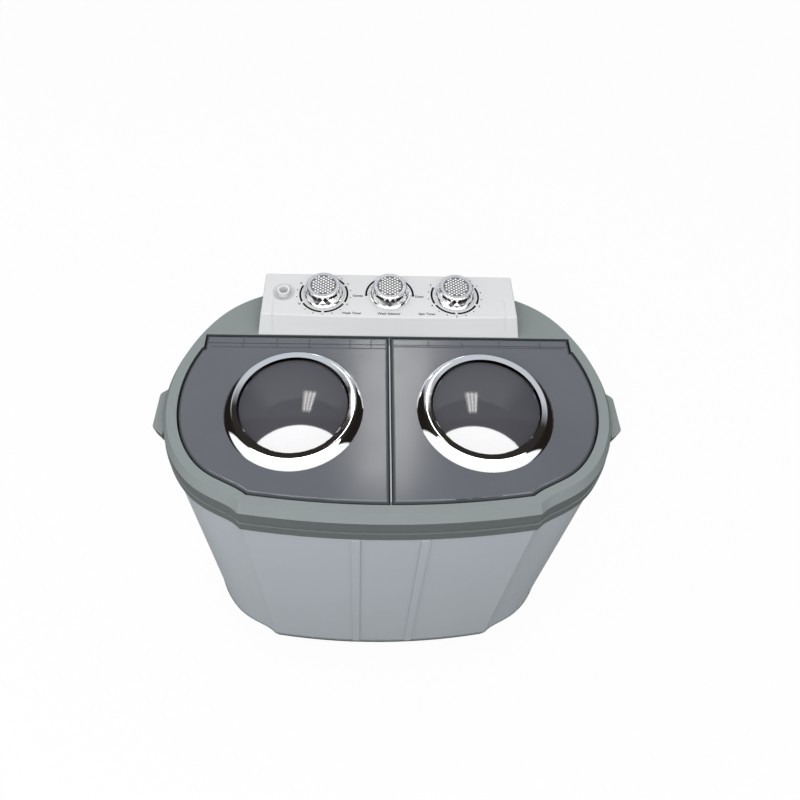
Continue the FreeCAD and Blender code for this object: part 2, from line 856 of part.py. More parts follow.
def make_lid(label, hand):
    bottom = d.deck_height - d.lid_skirt
    shape = lid_plan(hand, ZERO, bottom, d.deck_height)
    top_edges = [edge for edge in shape.Edges if level_at(d.deck_height)(edge)]
    shape = shape.makeFillet(float(d.lid_edge_radius), top_edges)
    below = bottom - d.overrun
    shape = shape.cut(lid_plan(hand, -d.wall, below, lid_under))
    x0, x1 = sorted((ZERO.value, hand * half_width.value))
    shape = shape.cut(box(
        x0, x1, hinge_place, half_depth, below, d.deck_height - d.lid_rear_skirt))
    shape = shape.cut(rod(
        d.lid_hole_radius, d.lid_skirt, hand * tub_x.value, tub_place, bottom))
    groove = hinge_place - d.lid_groove_gap
    shape = shape.cut(box(
        x0, x1, groove, groove + d.lid_groove_width,
        d.deck_height - d.lid_groove_depth, d.deck_height + d.overrun))
    for place in hinge_places(hand):
        ear_start = float(d.knuckle_width / 2 + d.hinge_side_gap)
        shape = shape.cut(box(
            place - ear_start, place + ear_start, hinge_place, half_depth, below, lid_under))
        for side in (-1, 1):
            low, high = sorted((side * ear_start, side * (ear_start + float(d.ear_width))))
            ear = box(
                place + low, place + high, hinge_place - d.ear_depth / 2,
                hinge_place + d.ear_depth / 2, lid_under - d.ear_height, lid_under + d.wall / 2)
            hole = rod(
                d.hinge_pin_radius + d.pin_fit, d.ear_width, place + low, hinge_place,
                hinge_height, Vector(1, 0, 0))
            shape = shape.fuse(ear).cut(hole)
    return solid_part(label, shape.removeSplitter())


def make_hinge_pins():
    length = d.knuckle_width + (d.hinge_side_gap + d.ear_width) * 2
    return group_part("hinge_pins", [
        rod(d.hinge_pin_radius, length, place - float(length) / 2, hinge_place, hinge_height,
            Vector(1, 0, 0))
        for hand in (-1, 1) for place in hinge_places(hand)])


def make_ring(label, x):
    crest = d.ring_crest_height
    path = [
        (ring_radius, ZERO), (ring_radius - d.ring_bevel_inset, crest - d.ring_bevel_drop),
        (ring_radius - d.ring_turn_inset, crest - d.ring_turn_drop, "via"),
        (ring_radius - d.ring_crest_inset, crest), (ring_mouth_radius + d.ring_lip_width, crest),
        (ring_mouth_radius, ring_seat_height + d.ring_lip),
        (ring_mouth_radius, ring_seat_height), (ring_seat_radius, ring_seat_height),
        (ring_seat_radius, -d.ring_sleeve_depth), (ring_sleeve_radius, -d.ring_sleeve_depth),
        (ring_sleeve_radius, ZERO)]
    return turned(label, path, x, tub_place, d.deck_height)


def dome_point(edge, rise):
    """A point on the dome of a given edge radius and rise, whose arc is centred on the axis."""
    slope = rise / edge
    radius = (edge * edge + rise * rise) / (rise * 2)
    spread = slope * slope / 4 + 1
    return radius * slope / spread, rise - radius * slope * slope / 2 / spread


def make_window(label, x):
    edge = ring_mouth_radius - d.running_gap
    flange = ring_seat_radius - d.running_gap
    top = ring_seat_height
    under = top - d.window_thickness
    middle, up = dome_point(edge, d.window_rise)
    path = [
        (ZERO, top + d.window_rise), (middle, top + up, "via"), (edge, top), (flange, top),
        (flange, under), (edge, under), (middle, under + up, "via"),
        (ZERO, under + d.window_rise)]
    return turned(label, path, x, tub_place, d.deck_height)


# Cabinet shell, base pan, feet and rear service cover

def wall_place(x, z):
    """How far back the shell's outer face lies at x and z."""
    shoulder = rim_bottom - d.shell_shoulder_gap
    share = float(Size.of(z) - pan_top) / float(shoulder - pan_top)
    inset = d.shell_base_inset + (d.shell_inset - d.shell_base_inset) * share
    line = Part.makeLine(Vector(float(x), 0, 0), Vector(float(x), float(rim_depth), 0))
    return outline(even(inset), ZERO).distToShape(line)[1][0][0].y


def front_rib(hand):
    """A shallow upright rib moulded on the front of the shell."""
    middle = d.front_rib_place + d.front_rib_spacing / 2 * hand
    front = d.shell_inset - half_depth - d.front_rib_relief
    return box(
        middle - d.front_rib_width / 2, middle + d.front_rib_width / 2, front, front + d.front_bow,
        pan_top, rim_bottom - d.front_rib_top_gap)


def make_body_shell():
    shoulder = rim_bottom - d.shell_shoulder_gap
    low = even(d.shell_base_inset)
    high = even(d.shell_inset)
    neck = even(d.shell_neck_inset)
    proud_low = grow(low, -d.front_rib_relief)
    proud_high = grow(high, -d.front_rib_relief)
    proud = block(pan_top, shoulder, proud_low, proud_high)
    ribs = [proud.common(front_rib(hand)) for hand in (-1, 1)]
    shape = block(pan_top, shoulder, low, high).fuse(ribs)
    shape = shape.fuse(block(shoulder, deck_under, neck, neck))
    inner_low = grow(low, d.wall)
    inner_high = grow(neck, d.wall)
    shape = shape.cut(block(pan_top, shoulder, inner_low, inner_high))
    shape = shape.cut(block(shoulder, deck_under, inner_high, inner_high))
    inside = d.cover_half_width - d.cover_margin
    shape = shape.cut(box(
        -inside, inside, half_depth / 2, half_depth, cover_bottom + d.cover_margin,
        cover_bottom + d.cover_height - d.cover_margin))
    return solid_part("body_shell", shape.removeSplitter())


def make_base_pan():
    base = even(d.pan_base_inset)
    top = even(d.pan_inset)
    shape = block(d.foot_height, pan_top, base, top)
    lip = even(d.shell_base_inset + d.wall + d.pan_lip_gap)
    shape = shape.fuse(block(pan_top, pan_top + d.pan_lip_height, lip, lip))
    inner_base = grow(base, d.pan_wall)
    inner_top = grow(lip, d.pan_wall)
    shape = shape.cut(block(pan_floor_top, pan_top, inner_base, inner_top))
    shape = shape.cut(block(pan_top, pan_top + d.pan_lip_height, inner_top, inner_top))
    for hand in (-1, 1):
        for step in range(-2, 3):
            y = tub_place + d.pan_slot_pitch * step
            x = tub_x * hand
            shape = shape.cut(box(
                x - d.pan_slot_length / 2, x + d.pan_slot_length / 2, y - d.pan_slot_width / 2,
                y + d.pan_slot_width / 2, ZERO, pan_floor_top))
    for x, y in foot_places():
        shape = shape.cut(rod(d.foot_peg_radius, d.foot_peg_height, x, y, d.foot_height))
    bosses = [
        rod(d.bracket_boss_radius, d.bracket_rise, x, y, pan_floor_top)
        for x, y in bracket_places()]
    return solid_part("base_pan", shape.fuse(bosses).removeSplitter())


def foot_places():
    return [
        ((rim_half_width - d.foot_side_inset) * x, (half_depth - d.foot_end_inset) * y)
        for x in (-1, 1) for y in (-1, 1)]


def bracket_places():
    reach = d.bracket_width / 2 - d.bracket_boss_radius
    return [
        (-tub_x + reach * x, wash_motor_place + reach * y) for x in (-1, 1) for y in (-1, 1)]


def make_feet():
    feet = []
    for x, y in foot_places():
        place = Vector(float(x), float(y), 0)
        pad_shape = Part.makeCone(
            float(d.foot_radius), float(d.foot_top_radius), float(d.foot_height), place)
        peg = rod(
            d.foot_peg_radius - d.running_gap / 2, d.pan_floor, x, y, d.foot_height)
        feet.append(pad_shape.fuse(peg))
    return group_part("feet", feet)


def make_rear_cover():
    low = grow(even(d.shell_base_inset), -d.running_gap)
    high = grow(even(d.shell_inset), -d.running_gap)
    shoulder = rim_bottom - d.shell_shoulder_gap
    outer = block(
        pan_top, shoulder, grow(low, -d.cover_thickness), grow(high, -d.cover_thickness))
    top = cover_bottom + d.cover_height
    slab = outer.common(box(
        -d.cover_half_width, d.cover_half_width, half_depth / 2, half_depth, cover_bottom, top))
    shape = slab.cut(block(pan_top, shoulder, low, high))
    rows = 7
    middle = cover_bottom + d.cover_height / 2
    for row in range(rows):
        z = middle + d.louvre_pitch * (row - (rows - 1) / 2)
        shape = shape.cut(box(
            -d.louvre_length / 2, d.louvre_length / 2, ZERO, half_depth, z, z + d.louvre_height))
    back = Vector(0, 1, 0)
    for x, z in cover_screw_places():
        shape = shape.cut(rod(d.screw_radius, half_depth, x, ZERO, z, back))
    for x, radius in ((valve_place_x, d.drain_pipe_radius), (d.gland_x, d.gland_radius)):
        shape = shape.cut(rod(radius + d.running_gap, half_depth, x, ZERO, outlet_height, back))
    return solid_part("rear_cover", shape)


def seat_place(x, z, radius):
    """Where a round flange first touches the rear cover, which curves and leans."""
    nearest = max(0.0, abs(float(x)) - float(radius))
    skin = float(d.running_gap + d.cover_thickness)
    return wall_place(nearest, float(z) + float(radius)) + skin


def cover_screw_places():
    reach = d.cover_half_width - d.cover_margin / 2
    low = cover_bottom + d.cover_margin / 2
    high = cover_bottom + d.cover_height - d.cover_margin / 2
    return [(reach * hand, z) for hand in (-1, 0, 1) for z in (low, high)]


def make_cover_screws():
    """Each screw's head lies on the cover, over its hole."""
    back = Vector(0, 1, 0)
    skin = float(d.running_gap + d.cover_thickness)
    screws = []
    for x, z in cover_screw_places():
        face = seat_place(x, z, d.screw_head_radius)
        head = rod(d.screw_head_radius, d.screw_head_height, x, face, z, back)
        shank = rod(d.screw_radius - d.shaft_fit, skin, x, face - skin, z, back)
        screws.append(head.fuse(shank))
    return group_part("cover_screws", screws)


# Control panel

def panel_wire(half, front, bow, rear, height):
    """The panel's outline at a height, with its front edge bowed towards the user."""
    corners = [
        Vector(float(x), float(y), float(height))
        for x, y in ((-half, front), (half, front), (half, rear), (-half, rear))]
    middle = Vector(0, float(front - bow), float(height))
    sides = [Part.makeLine(a, b) for a, b in zip(corners[1:], corners[2:] + corners[:1])]
    return Part.Wire([Part.Arc(corners[0], middle, corners[1]).toShape()] + sides)


def make_control_panel():
    shape = Part.makeLoft([
        panel_wire(panel_half_width, panel_front, d.running_gap, panel_rear, d.deck_height),
        panel_wire(
            panel_top_half_width, panel_crease, d.panel_bow, panel_rear, panel_top)],
        True, True)
    rounded = [edge for edge in shape.Edges if not level_at(d.deck_height)(edge)]
    shape = shape.makeFillet(float(d.panel_edge_radius), rounded)
    inner_rear = panel_rear - d.wall
    hollow = Part.makeLoft([
        panel_wire(
            panel_half_width - d.wall, panel_front + d.wall, d.running_gap, inner_rear,
            d.deck_height),
        panel_wire(
            panel_top_half_width - d.wall, panel_crease + d.wall / 2, d.panel_bow, inner_rear,
            panel_top - d.wall)], True, True)
    shape = shape.cut(hollow)
    for step in (-1, 0, 1):
        shape = shape.cut(rod(
            d.knob_shaft_radius + d.shaft_fit, d.panel_height, d.dial_spacing * step, dial_place,
            d.deck_height))
    shape = shape.cut(rod(
        d.inlet_tube_radius + d.running_gap, d.panel_height, -inlet_place_x, inlet_place_y,
        d.deck_height))
    shape = shape.cut(rod(
        d.inlet_dish_radius, d.inlet_dish_depth, -inlet_place_x, inlet_place_y,
        panel_top - d.inlet_dish_depth))
    for hand in (-1, 1):
        shape = shape.cut(panel_groove((panel_top_half_width - d.panel_groove_inset) * hand))
    return solid_part("control_panel", shape)


def panel_groove(x):
    """A cutter for the groove near the panel's end, over its front slope and part of its top."""
    lean = d.panel_slope / d.panel_height
    start = float(x - d.panel_groove_width / 2)
    depth = d.panel_groove_depth
    foot = d.panel_groove_foot
    profile = [
        (panel_crease + d.panel_groove_length, panel_top + d.overrun),
        (panel_crease + d.panel_groove_length, panel_top - depth),
        (panel_crease + depth / 2, panel_top - depth),
        (panel_front + lean * foot + depth, d.deck_height + foot),
        (panel_front - d.panel_bow - d.overrun, d.deck_height + foot),
        (panel_front - d.panel_bow - d.overrun, panel_top + d.overrun)]
    corners = [Vector(start, float(y), float(z)) for y, z in profile]
    face = Part.Face(Part.makePolygon(corners + corners[:1]))
    return face.extrude(Vector(float(d.panel_groove_width), 0, 0))


def make_panel_base():
    """The tray that closes the panel from below, open round the timers and the inlet."""
    body = new_body("panel_base")
    inset = d.wall + d.running_gap
    side = panel_half_width - inset - d.panel_side_lean / d.panel_height * d.wall
    front = panel_front + inset + d.panel_slope / d.panel_height * d.wall
    plate = draw(new_sketch(body, "XY_Plane", d.deck_height), box_path(
        -side, side, front, panel_rear - inset))
    pad(body, plate, d.wall)
    window = draw(new_sketch(body, "XY_Plane", d.deck_height), box_path(
        -panel_window_width / 2, panel_window_width / 2,
        dial_place - panel_window_depth / 2, dial_place + panel_window_depth / 2))
    pocket(body, window, d.panel_height, True)
    inlet = draw_circle(
        new_sketch(body, "XY_Plane", d.deck_height), d.inlet_tube_radius + d.running_gap,
        -inlet_place_x, inlet_place_y)
    pocket(body, inlet, d.panel_height, True)
    return body


# Knobs, shafts, timers and selector

def facet_ring(radius, height, turn_share):
    """Corners of an even polygon, turned by a share of one step."""
    corners = []
    for step in range(KNOB_FACETS):
        angle = 2 * math.pi * (step + turn_share) / KNOB_FACETS
        corners.append(Vector(radius * math.cos(angle), radius * math.sin(angle), height))
    return corners


def faceted_skirt():
    """The diamond-cut skirt: triangles between polygons that are turned by half a step."""
    base = float(d.knob_base_height)
    rise = float(d.knob_skirt_height)
    wide = float(knob_skirt_radius)
    narrow = float(knob_cap_radius - d.knob_cap_lip)
    rings = [
        facet_ring(wide, base, 0), facet_ring((wide * 3 + narrow) / 4, base + rise / 3, 1 / 2),
        facet_ring((wide + narrow) / 2, base + rise * 2 / 3, 0), facet_ring(narrow, base + rise, 1 / 2)]
    faces = []
    for lower, upper, shift in zip(rings, rings[1:], (0, 1, 0)):
        for step in range(KNOB_FACETS):
            after = (step + 1) % KNOB_FACETS
            meet = (step + shift) % KNOB_FACETS
            faces.append([lower[step], lower[after], upper[meet]])
            faces.append([upper[meet], lower[after], upper[(meet + 1) % KNOB_FACETS]])
    faces.append(rings[0][::-1])
    faces.append(rings[-1])
    made = [Part.Face(Part.makePolygon(corners + corners[:1])) for corners in faces]
    return Part.makeSolid(Part.makeShell(made))


def make_knob(label, x):
    base = rod(d.knob_base_radius, d.knob_base_height, ZERO, ZERO, ZERO)
    cap_bottom = d.knob_base_height + d.knob_skirt_height
    cap = rod(knob_cap_radius, d.knob_cap_height, ZERO, ZERO, cap_bottom)
    top = cap_bottom + d.knob_cap_height
    cap = cap.makeFillet(float(d.knob_cap_edge), [e for e in cap.Edges if level_at(top)(e)])
    shape = base.fuse([faceted_skirt(), cap])
    shape = shape.cut(rod(d.knob_shaft_radius, d.knob_socket_depth, ZERO, ZERO, ZERO))
    item = solid_part(label, shape.removeSplitter())
    item.Placement = FreeCAD.Placement(
        Vector(float(x), float(dial_place), float(panel_top + d.knob_gap)),
        FreeCAD.Rotation())
    return item


def make_cylinder(label, radius, height, x, y, z):
    item = doc.addObject("Part::Cylinder", label)
    item.setExpression("Radius", Size.of(radius).formula)
    item.setExpression("Height", Size.of(height).formula)
    bind_place(item, x, y, z)
    return item


def make_knob_shaft(label, x, depth):
    top = panel_top + d.knob_gap + d.knob_socket_depth
    item = make_cylinder(label, d.knob_shaft_radius, depth, x, dial_place, top - depth)
    return keep(item, label)


def make_timer(label, x):
    """A clockwork timer's case, with its shaft hole, hung under the panel."""
    body = new_body(label, x, dial_place, panel_top - d.wall - d.timer_height)
    case = draw(new_sketch(body, "XY_Plane"), box_path(
        -d.timer_width / 2, d.timer_width / 2, -d.timer_depth / 2, d.timer_depth / 2))
    solid = pad(body, case, d.timer_height)
    fillet(body, solid, d.timer_case_edge, upright)
    hole = draw_circle(new_sketch(body, "XY_Plane"), d.knob_shaft_radius + d.shaft_fit)
    pocket(body, hole, d.timer_height, True)
    return body


def make_selector_bracket():
    """The plate that carries the wash selector's shaft under the panel."""
    body = new_body("selector_bracket", ZERO, dial_place, panel_top - d.wall - d.selector_height)
    case = draw(new_sketch(body, "XY_Plane"), box_path(
        -d.selector_width / 2, d.selector_width / 2, -d.timer_depth / 2, d.timer_depth / 2))
    solid = pad(body, case, d.selector_height)
    fillet(body, solid, d.timer_case_edge, upright)
    hole = draw_circle(new_sketch(body, "XY_Plane"), d.knob_shaft_radius + d.shaft_fit)
    pocket(body, hole, d.selector_height, True)
    return body


def cam_bottom():
    return panel_top + d.knob_gap + d.knob_socket_depth - d.selector_shaft_depth


def make_selector_cam():
    """The cam at the foot of the selector's shaft: a disc with a ramp under the pull rod."""
    z = cam_bottom()
    shape = rod(d.cam_radius, d.cam_thickness, ZERO, dial_place, z)
    steps = 12
    sections = []
    for step in range(steps + 1):
        angle = math.pi * (1 + step / steps)
        rise = d.cam_thickness / 2 + (d.cam_thickness / 2 + d.cam_rise) * (step / steps)
        corners = []
        for share, up in ((0.45, 0), (0.95, 0), (0.95, 1), (0.45, 1)):
            radius = float(d.cam_radius) * share
            corners.append(Vector(
                radius * math.cos(angle), float(dial_place) + radius * math.sin(angle),
                float(z + rise * up)))
        sections.append(Part.makePolygon(corners + corners[:1]))
    shape = shape.fuse(Part.makeLoft(sections, True, True))
    shape = shape.cut(rod(
        d.knob_shaft_radius, d.cam_thickness + d.cam_rise, ZERO, dial_place, z))
    return solid_part("selector_cam", shape.removeSplitter())


# Pipes

def tube(corners, radius, bend):
    """A round bar along straight runs joined by tangent arcs."""
    points = [Vector(*(float(value) for value in corner)) for corner in corners]
    edges = []
    start = points[0]
    for before, corner, after in zip(points, points[1:], points[2:]):
        back = (before - corner).normalize()
        ahead = (after - corner).normalize()
        half_turn = back.getAngle(ahead) / 2
        reach = float(bend) / math.tan(half_turn)
        first = corner + back * reach
        last = corner + ahead * reach
        to_centre = (back + ahead).normalize()
        centre = corner + to_centre * (float(bend) / math.sin(half_turn))
        middle = centre - to_centre * float(bend)
        edges.append(Part.LineSegment(start, first).toShape())
        edges.append(Part.Arc(first, middle, last).toShape())
        start = last
    edges.append(Part.LineSegment(start, points[-1]).toShape())
    circle = Part.makeCircle(float(radius), points[0], points[1] - points[0])
    return Part.Wire(edges).makePipeShell([Part.Wire([circle])], True, False)


def pipe(corners, radius, bore, bend):
    return tube(corners, radius, bend).cut(tube(corners, bore, bend))


def inlet_corners():
    low = panel_top - d.inlet_drop
    tub_wall = tub_place + d.wash_half_depth
    return [
        (-inlet_place_x, inlet_place_y, panel_top + d.inlet_rise),
        (-inlet_place_x, inlet_place_y, low), (-inlet_place_x, tub_wall, low)]


def make_inlet_pipe():
    shape = pipe(inlet_corners(), d.inlet_tube_radius, d.inlet_bore_radius, d.inlet_bend)
    return solid_part("inlet_pipe", shape)


# Wash tub, pulsator and belt drive

def rounded_wire(half_x, half_y, radius, height):
    """A rectangle with round corners, as a wire at a height, round the tub's middle."""
    x, y, r = float(half_x), float(half_y), float(radius)
    slant = r * math.sqrt(1 / 2)
    level = Vector(float(-tub_x), float(tub_place), float(height))
    edges = []
    for sx, sy in ((1, 1), (-1, 1), (-1, -1), (1, -1)):
        centre = Vector(sx * (x - r), sy * (y - r), 0) + level
        beside = Vector(sx * r, 0, 0)
        beyond = Vector(0, sy * r, 0)
        first, last = (beside, beyond) if sx * sy > 0 else (beyond, beside)
        middle = Vector(sx * slant, sy * slant, 0)
        edges.append(Part.Arc(centre + first, centre + middle, centre + last).toShape())
    sides = []
    for arc, after in zip(edges, edges[1:] + edges[:1]):
        sides += [arc, Part.makeLine(arc.valueAt(arc.LastParameter),
                                     after.valueAt(after.FirstParameter))]
    return Part.Wire(sides)


def tub_solid(outward, bottom, top):
    """The tub's inner form, or its outer form one wall outward, narrower at the foot."""
    radius = d.wash_corner_radius + outward
    low = rounded_wire(
        d.wash_half_width + outward - d.tub_draw, d.wash_half_depth + outward - d.tub_draw,
        radius - d.tub_draw, bottom)
    high = rounded_wire(d.wash_half_width + outward, d.wash_half_depth + outward, radius, top)
    shape = Part.makeLoft([low, high], True, True)
    foot = [edge for edge in shape.Edges if level_at(bottom)(edge)]
    return shape.makeFillet(float(d.wash_floor_radius + outward), foot)


def make_wash_tub():
    shape = tub_solid(d.wall, tub_bottom, deck_under)
    flange_wires = [
        rounded_wire(
            d.wash_half_width + d.wall + d.tub_flange, d.wash_half_depth + d.wall + d.tub_flange,
            d.wash_corner_radius, height)
        for height in (deck_under - d.tub_flange_thickness, deck_under)]
    shape = shape.fuse(Part.makeLoft(flange_wires, True, True))
    shape = shape.cut(tub_solid(ZERO, tub_bottom + d.wall, deck_under))
    shape = shape.cut(rod(
        d.bearing_radius + d.running_gap, d.wall * 2, -tub_x, tub_place, tub_bottom))
    shape = shape.cut(rod(
        d.drain_pipe_radius - d.drain_pipe_wall, d.wall * 2, valve_place_x, wash_port_y,
        tub_bottom))
    x, _, z = inlet_corners()[-1]
    shape = shape.cut(rod(
        d.inlet_tube_radius + d.running_gap, half_depth, x, tub_place, z, Vector(0, 1, 0)))
    return solid_part("wash_tub", shape.removeSplitter())


def make_lint_filter():
    """A slotted box that hangs on the tub's inner side wall."""
    top = deck_under - d.filter_drop
    bottom = top - d.filter_height
    share = float(deck_under - bottom) / float(deck_under - tub_bottom)
    back = d.wash_half_width - tub_x - d.tub_draw * share - d.running_gap
    front = back - d.filter_depth
    y0 = tub_place - d.filter_width / 2
    y1 = tub_place + d.filter_width / 2
    wall = d.filter_wall
    shape = box(front, back, y0, y1, bottom, top)
    shape = shape.cut(box(front + wall, back - wall, y0 + wall, y1 - wall, bottom + wall, top))
    slots = 5
    pitch = (d.filter_height - wall * 4) / slots
    for row in range(slots):
        z = bottom + wall * 2 + pitch * row
        shape = shape.cut(box(front, front + wall, y0 + wall * 2, y1 - wall * 2, z, z + pitch / 2))
    return solid_part("lint_filter", shape)


def make_pulsator():
    gap = d.shaft_fit
    body = turned("pulsator", [
        (d.wash_shaft_radius + gap, ZERO), (pulsator_radius, ZERO),
        (pulsator_radius, d.pulsator_thickness),
        (pulsator_radius * 0.7, d.pulsator_thickness * 1.4),
        (d.pulsator_hub_radius, d.pulsator_thickness * 3.5),
        (d.pulsator_hub_radius * 0.6, d.pulsator_height), (ZERO, d.pulsator_height),
        (ZERO, d.pulsator_height - d.pulsator_thickness),
        (d.wash_shaft_radius + gap, d.pulsator_height - d.pulsator_thickness)],
        -tub_x, tub_place, tub_bottom + d.wall + d.pulsator_gap)
    inner = d.pulsator_hub_radius * 0.6
    outer = pulsator_radius * 0.94
    middle = (inner + outer) / 2
    width = d.pulsator_rib_width
    rib = draw(new_sketch(body, "XY_Plane"), [
        (inner, -width / 2), (middle, -width, "via"), (outer, -width / 3),
        (outer, width / 3), (middle, ZERO, "via"), (inner, width / 2)])
    polar(body, pad(body, rib, d.pulsator_rib_height), 4)
    return body


def make_pulsator_bearing():
    low = -d.bearing_length + d.bearing_flange_height
    top = d.wall + d.pulsator_gap / 2
    bore = d.wash_shaft_radius + d.shaft_fit
    return turned("pulsator_bearing", [
        (bore, low), (d.bearing_radius, low), (d.bearing_radius, -d.bearing_flange_height),
        (d.bearing_flange_radius, -d.bearing_flange_height), (d.bearing_flange_radius, ZERO),
        (d.bearing_radius, ZERO), (d.bearing_radius, top), (bore, top)],
        -tub_x, tub_place, tub_bottom)


def groove_path(radius):
    """The rim of a grooved pulley, from its lower face up."""
    foot = d.pulley_flange
    shoulder = d.belt_shoulder
    deep = radius - d.pulley_groove_depth
    height = d.pulley_height
    return [
        (radius, ZERO), (radius, foot), (deep, foot + shoulder),
        (deep, height - foot - shoulder), (radius, height - foot), (radius, height)]


def make_pulsator_pulley():
    bore = d.wash_shaft_radius + d.shaft_fit
    inside = d.wash_pulley_radius - d.pulley_groove_depth - d.pulley_web
    low = (d.pulley_height - d.pulley_web) / 2
    high = low + d.pulley_web
    body = turned("pulsator_pulley", [
        (bore, ZERO), (d.pulley_hub_radius, ZERO), (d.pulley_hub_radius, low), (inside, low),
        (inside, ZERO)] + groove_path(d.wash_pulley_radius) + [
        (inside, d.pulley_height), (inside, high), (d.pulley_hub_radius, high),
        (d.pulley_hub_radius, d.pulley_height * 1.4), (bore, d.pulley_height * 1.4)],
        -tub_x, tub_place, pulley_bottom)
    hole = draw_circle(
        new_sketch(body, "XY_Plane"), d.lightening_hole_radius, d.lightening_hole_place)
    polar(body, pocket(body, hole, d.pulley_height, True), 5)
    return body


def make_motor_pulley():
    bore = d.wash_shaft_radius + d.shaft_fit
    path = [(bore, ZERO)] + groove_path(d.motor_pulley_radius) + [(bore, d.pulley_height)]
    return turned("motor_pulley", path, -tub_x, wash_motor_place, pulley_bottom)


def make_drive_belt():
    """A V-belt round both pulleys, swept along its two arcs and two straight runs."""
    y_big = float(tub_place)
    y_small = float(wash_motor_place)
    big = float(d.wash_pulley_radius - d.pulley_groove_depth + d.belt_gap)
    small = float(d.motor_pulley_radius - d.pulley_groove_depth + d.belt_gap)
    x = float(-tub_x)
    z = float(pulley_bottom + d.pulley_height / 2)
    lean = math.asin((big - small) / (y_small - y_big))
    across = math.cos(lean)
    along = math.sin(lean)

    def place(radius, centre_y, hand):
        return Vector(x + hand * radius * across, centre_y + radius * along, z)

    right_big, right_small = place(big, y_big, 1), place(small, y_small, 1)
    left_big, left_small = place(big, y_big, -1), place(small, y_small, -1)
    path = Part.Wire([
        Part.makeLine(right_big, right_small),
        Part.Arc(right_small, Vector(x, y_small + small, z), left_small).toShape(),
        Part.makeLine(left_small, left_big),
        Part.Arc(left_big, Vector(x, y_big - big, z), right_big).toShape()])
    outward = Vector(across, along, 0)
    half_wide = float(d.pulley_height / 2 - d.pulley_flange - d.belt_gap)
    half_narrow = half_wide - float(d.belt_shoulder)
    thick = outward * float(d.belt_thickness)
    corners = [
        right_big + Vector(0, 0, -half_narrow), right_big + thick + Vector(0, 0, -half_wide),
        right_big + thick + Vector(0, 0, half_wide), right_big + Vector(0, 0, half_narrow)]
    section = Part.makePolygon(corners + corners[:1])
    return solid_part("drive_belt", path.makePipeShell([section], True, True))


def make_motor_frame(label, x, y, z):
    """End caps, core and bearing boss of a motor, with the hole that its shaft turns in."""
    bore = d.wash_shaft_radius + d.shaft_fit
    cap = d.motor_cap_height
    top = motor_height
    core = d.stator_width / 2 - d.stator_corner
    slope = d.motor_radius - d.motor_cap_radius
    return turned(label, [
        (ZERO, ZERO), (d.motor_cap_radius, ZERO), (d.motor_radius, slope), (d.motor_radius, cap),
        (core, cap), (core, top - cap), (d.motor_radius, top - cap),
        (d.motor_radius, top - slope), (d.motor_cap_radius, top), (d.motor_boss_radius, top),
        (d.motor_boss_radius, top + d.motor_boss_height), (bore, top + d.motor_boss_height),
        (bore, cap), (ZERO, cap)], x, y, z)


def make_stator(label, x, y, z):
    body = new_body(label, x, y, z + d.motor_cap_height)
    half = d.stator_width / 2
    solid = pad(body, draw(new_sketch(body, "XY_Plane"), box_path(-half, half, -half, half)),
                d.stator_height)
    fillet(body, solid, d.stator_corner, upright)
    core = draw_circle(
        new_sketch(body, "XY_Plane"), half - d.stator_corner + d.running_gap)
    pocket(body, core, d.stator_height, True)
    return body


def make_motor_bracket():
    """The plate under the wash motor, on the base pan's four bosses."""
    body = new_body(
        "wash_motor_bracket", -tub_x, wash_motor_place,
        wash_motor_bottom - d.bracket_thickness)
    half = d.bracket_width / 2
    solid = pad(body, draw(new_sketch(body, "XY_Plane"), box_path(-half, half, -half, half)),
                d.bracket_thickness)
    fillet(body, solid, d.bracket_boss_radius, upright)
    hole = draw_circle(new_sketch(body, "XY_Plane"), d.motor_cap_radius / 2)
    pocket(body, hole, d.bracket_thickness, True)
    return body


# Spin tub, basket, shaft, brake and motor mounts

def make_spin_tub():
    height = deck_under - tub_bottom
    outer = spin_tub_radius + d.wall
    slope = d.wash_floor_radius * 0.7
    flange = outer + d.tub_flange
    body = turned("spin_outer_tub", [
        (d.spin_hub_radius, ZERO), (outer - slope, ZERO), (outer, slope),
        (outer, height - d.tub_flange_thickness), (flange, height - d.tub_flange_thickness),
        (flange, height), (spin_tub_radius, height), (spin_tub_radius, slope + d.wall / 2),
        (spin_tub_radius - slope, d.wall), (d.spin_hub_radius, d.wall)],
        tub_x, tub_place, tub_bottom)
    port = draw_circle(
        new_sketch(body, "XY_Plane"), d.drain_pipe_radius - d.drain_pipe_wall,
        spin_port_x - tub_x, spin_port_y - tub_place)
    pocket(body, port, d.wall * 2, True)
    return body


def make_spin_seal():
    """The rubber boot between the outer tub's hub hole and the turning shaft."""
    bore = d.spin_shaft_radius + d.shaft_fit
    hole = d.spin_hub_radius - d.running_gap
    wall = d.seal_wall
    top = d.seal_height
    lip = bore + wall
    return turned("spin_seal", [
        (hole - wall * 2, -wall), (d.spin_hub_radius + wall * 3, -wall),
        (d.spin_hub_radius + wall * 3, ZERO), (hole, ZERO), (hole - wall, wall * 2),
        (lip, top - wall), (lip, top), (bore, top), (bore, top - wall * 2)],
        tub_x, tub_place, tub_bottom)


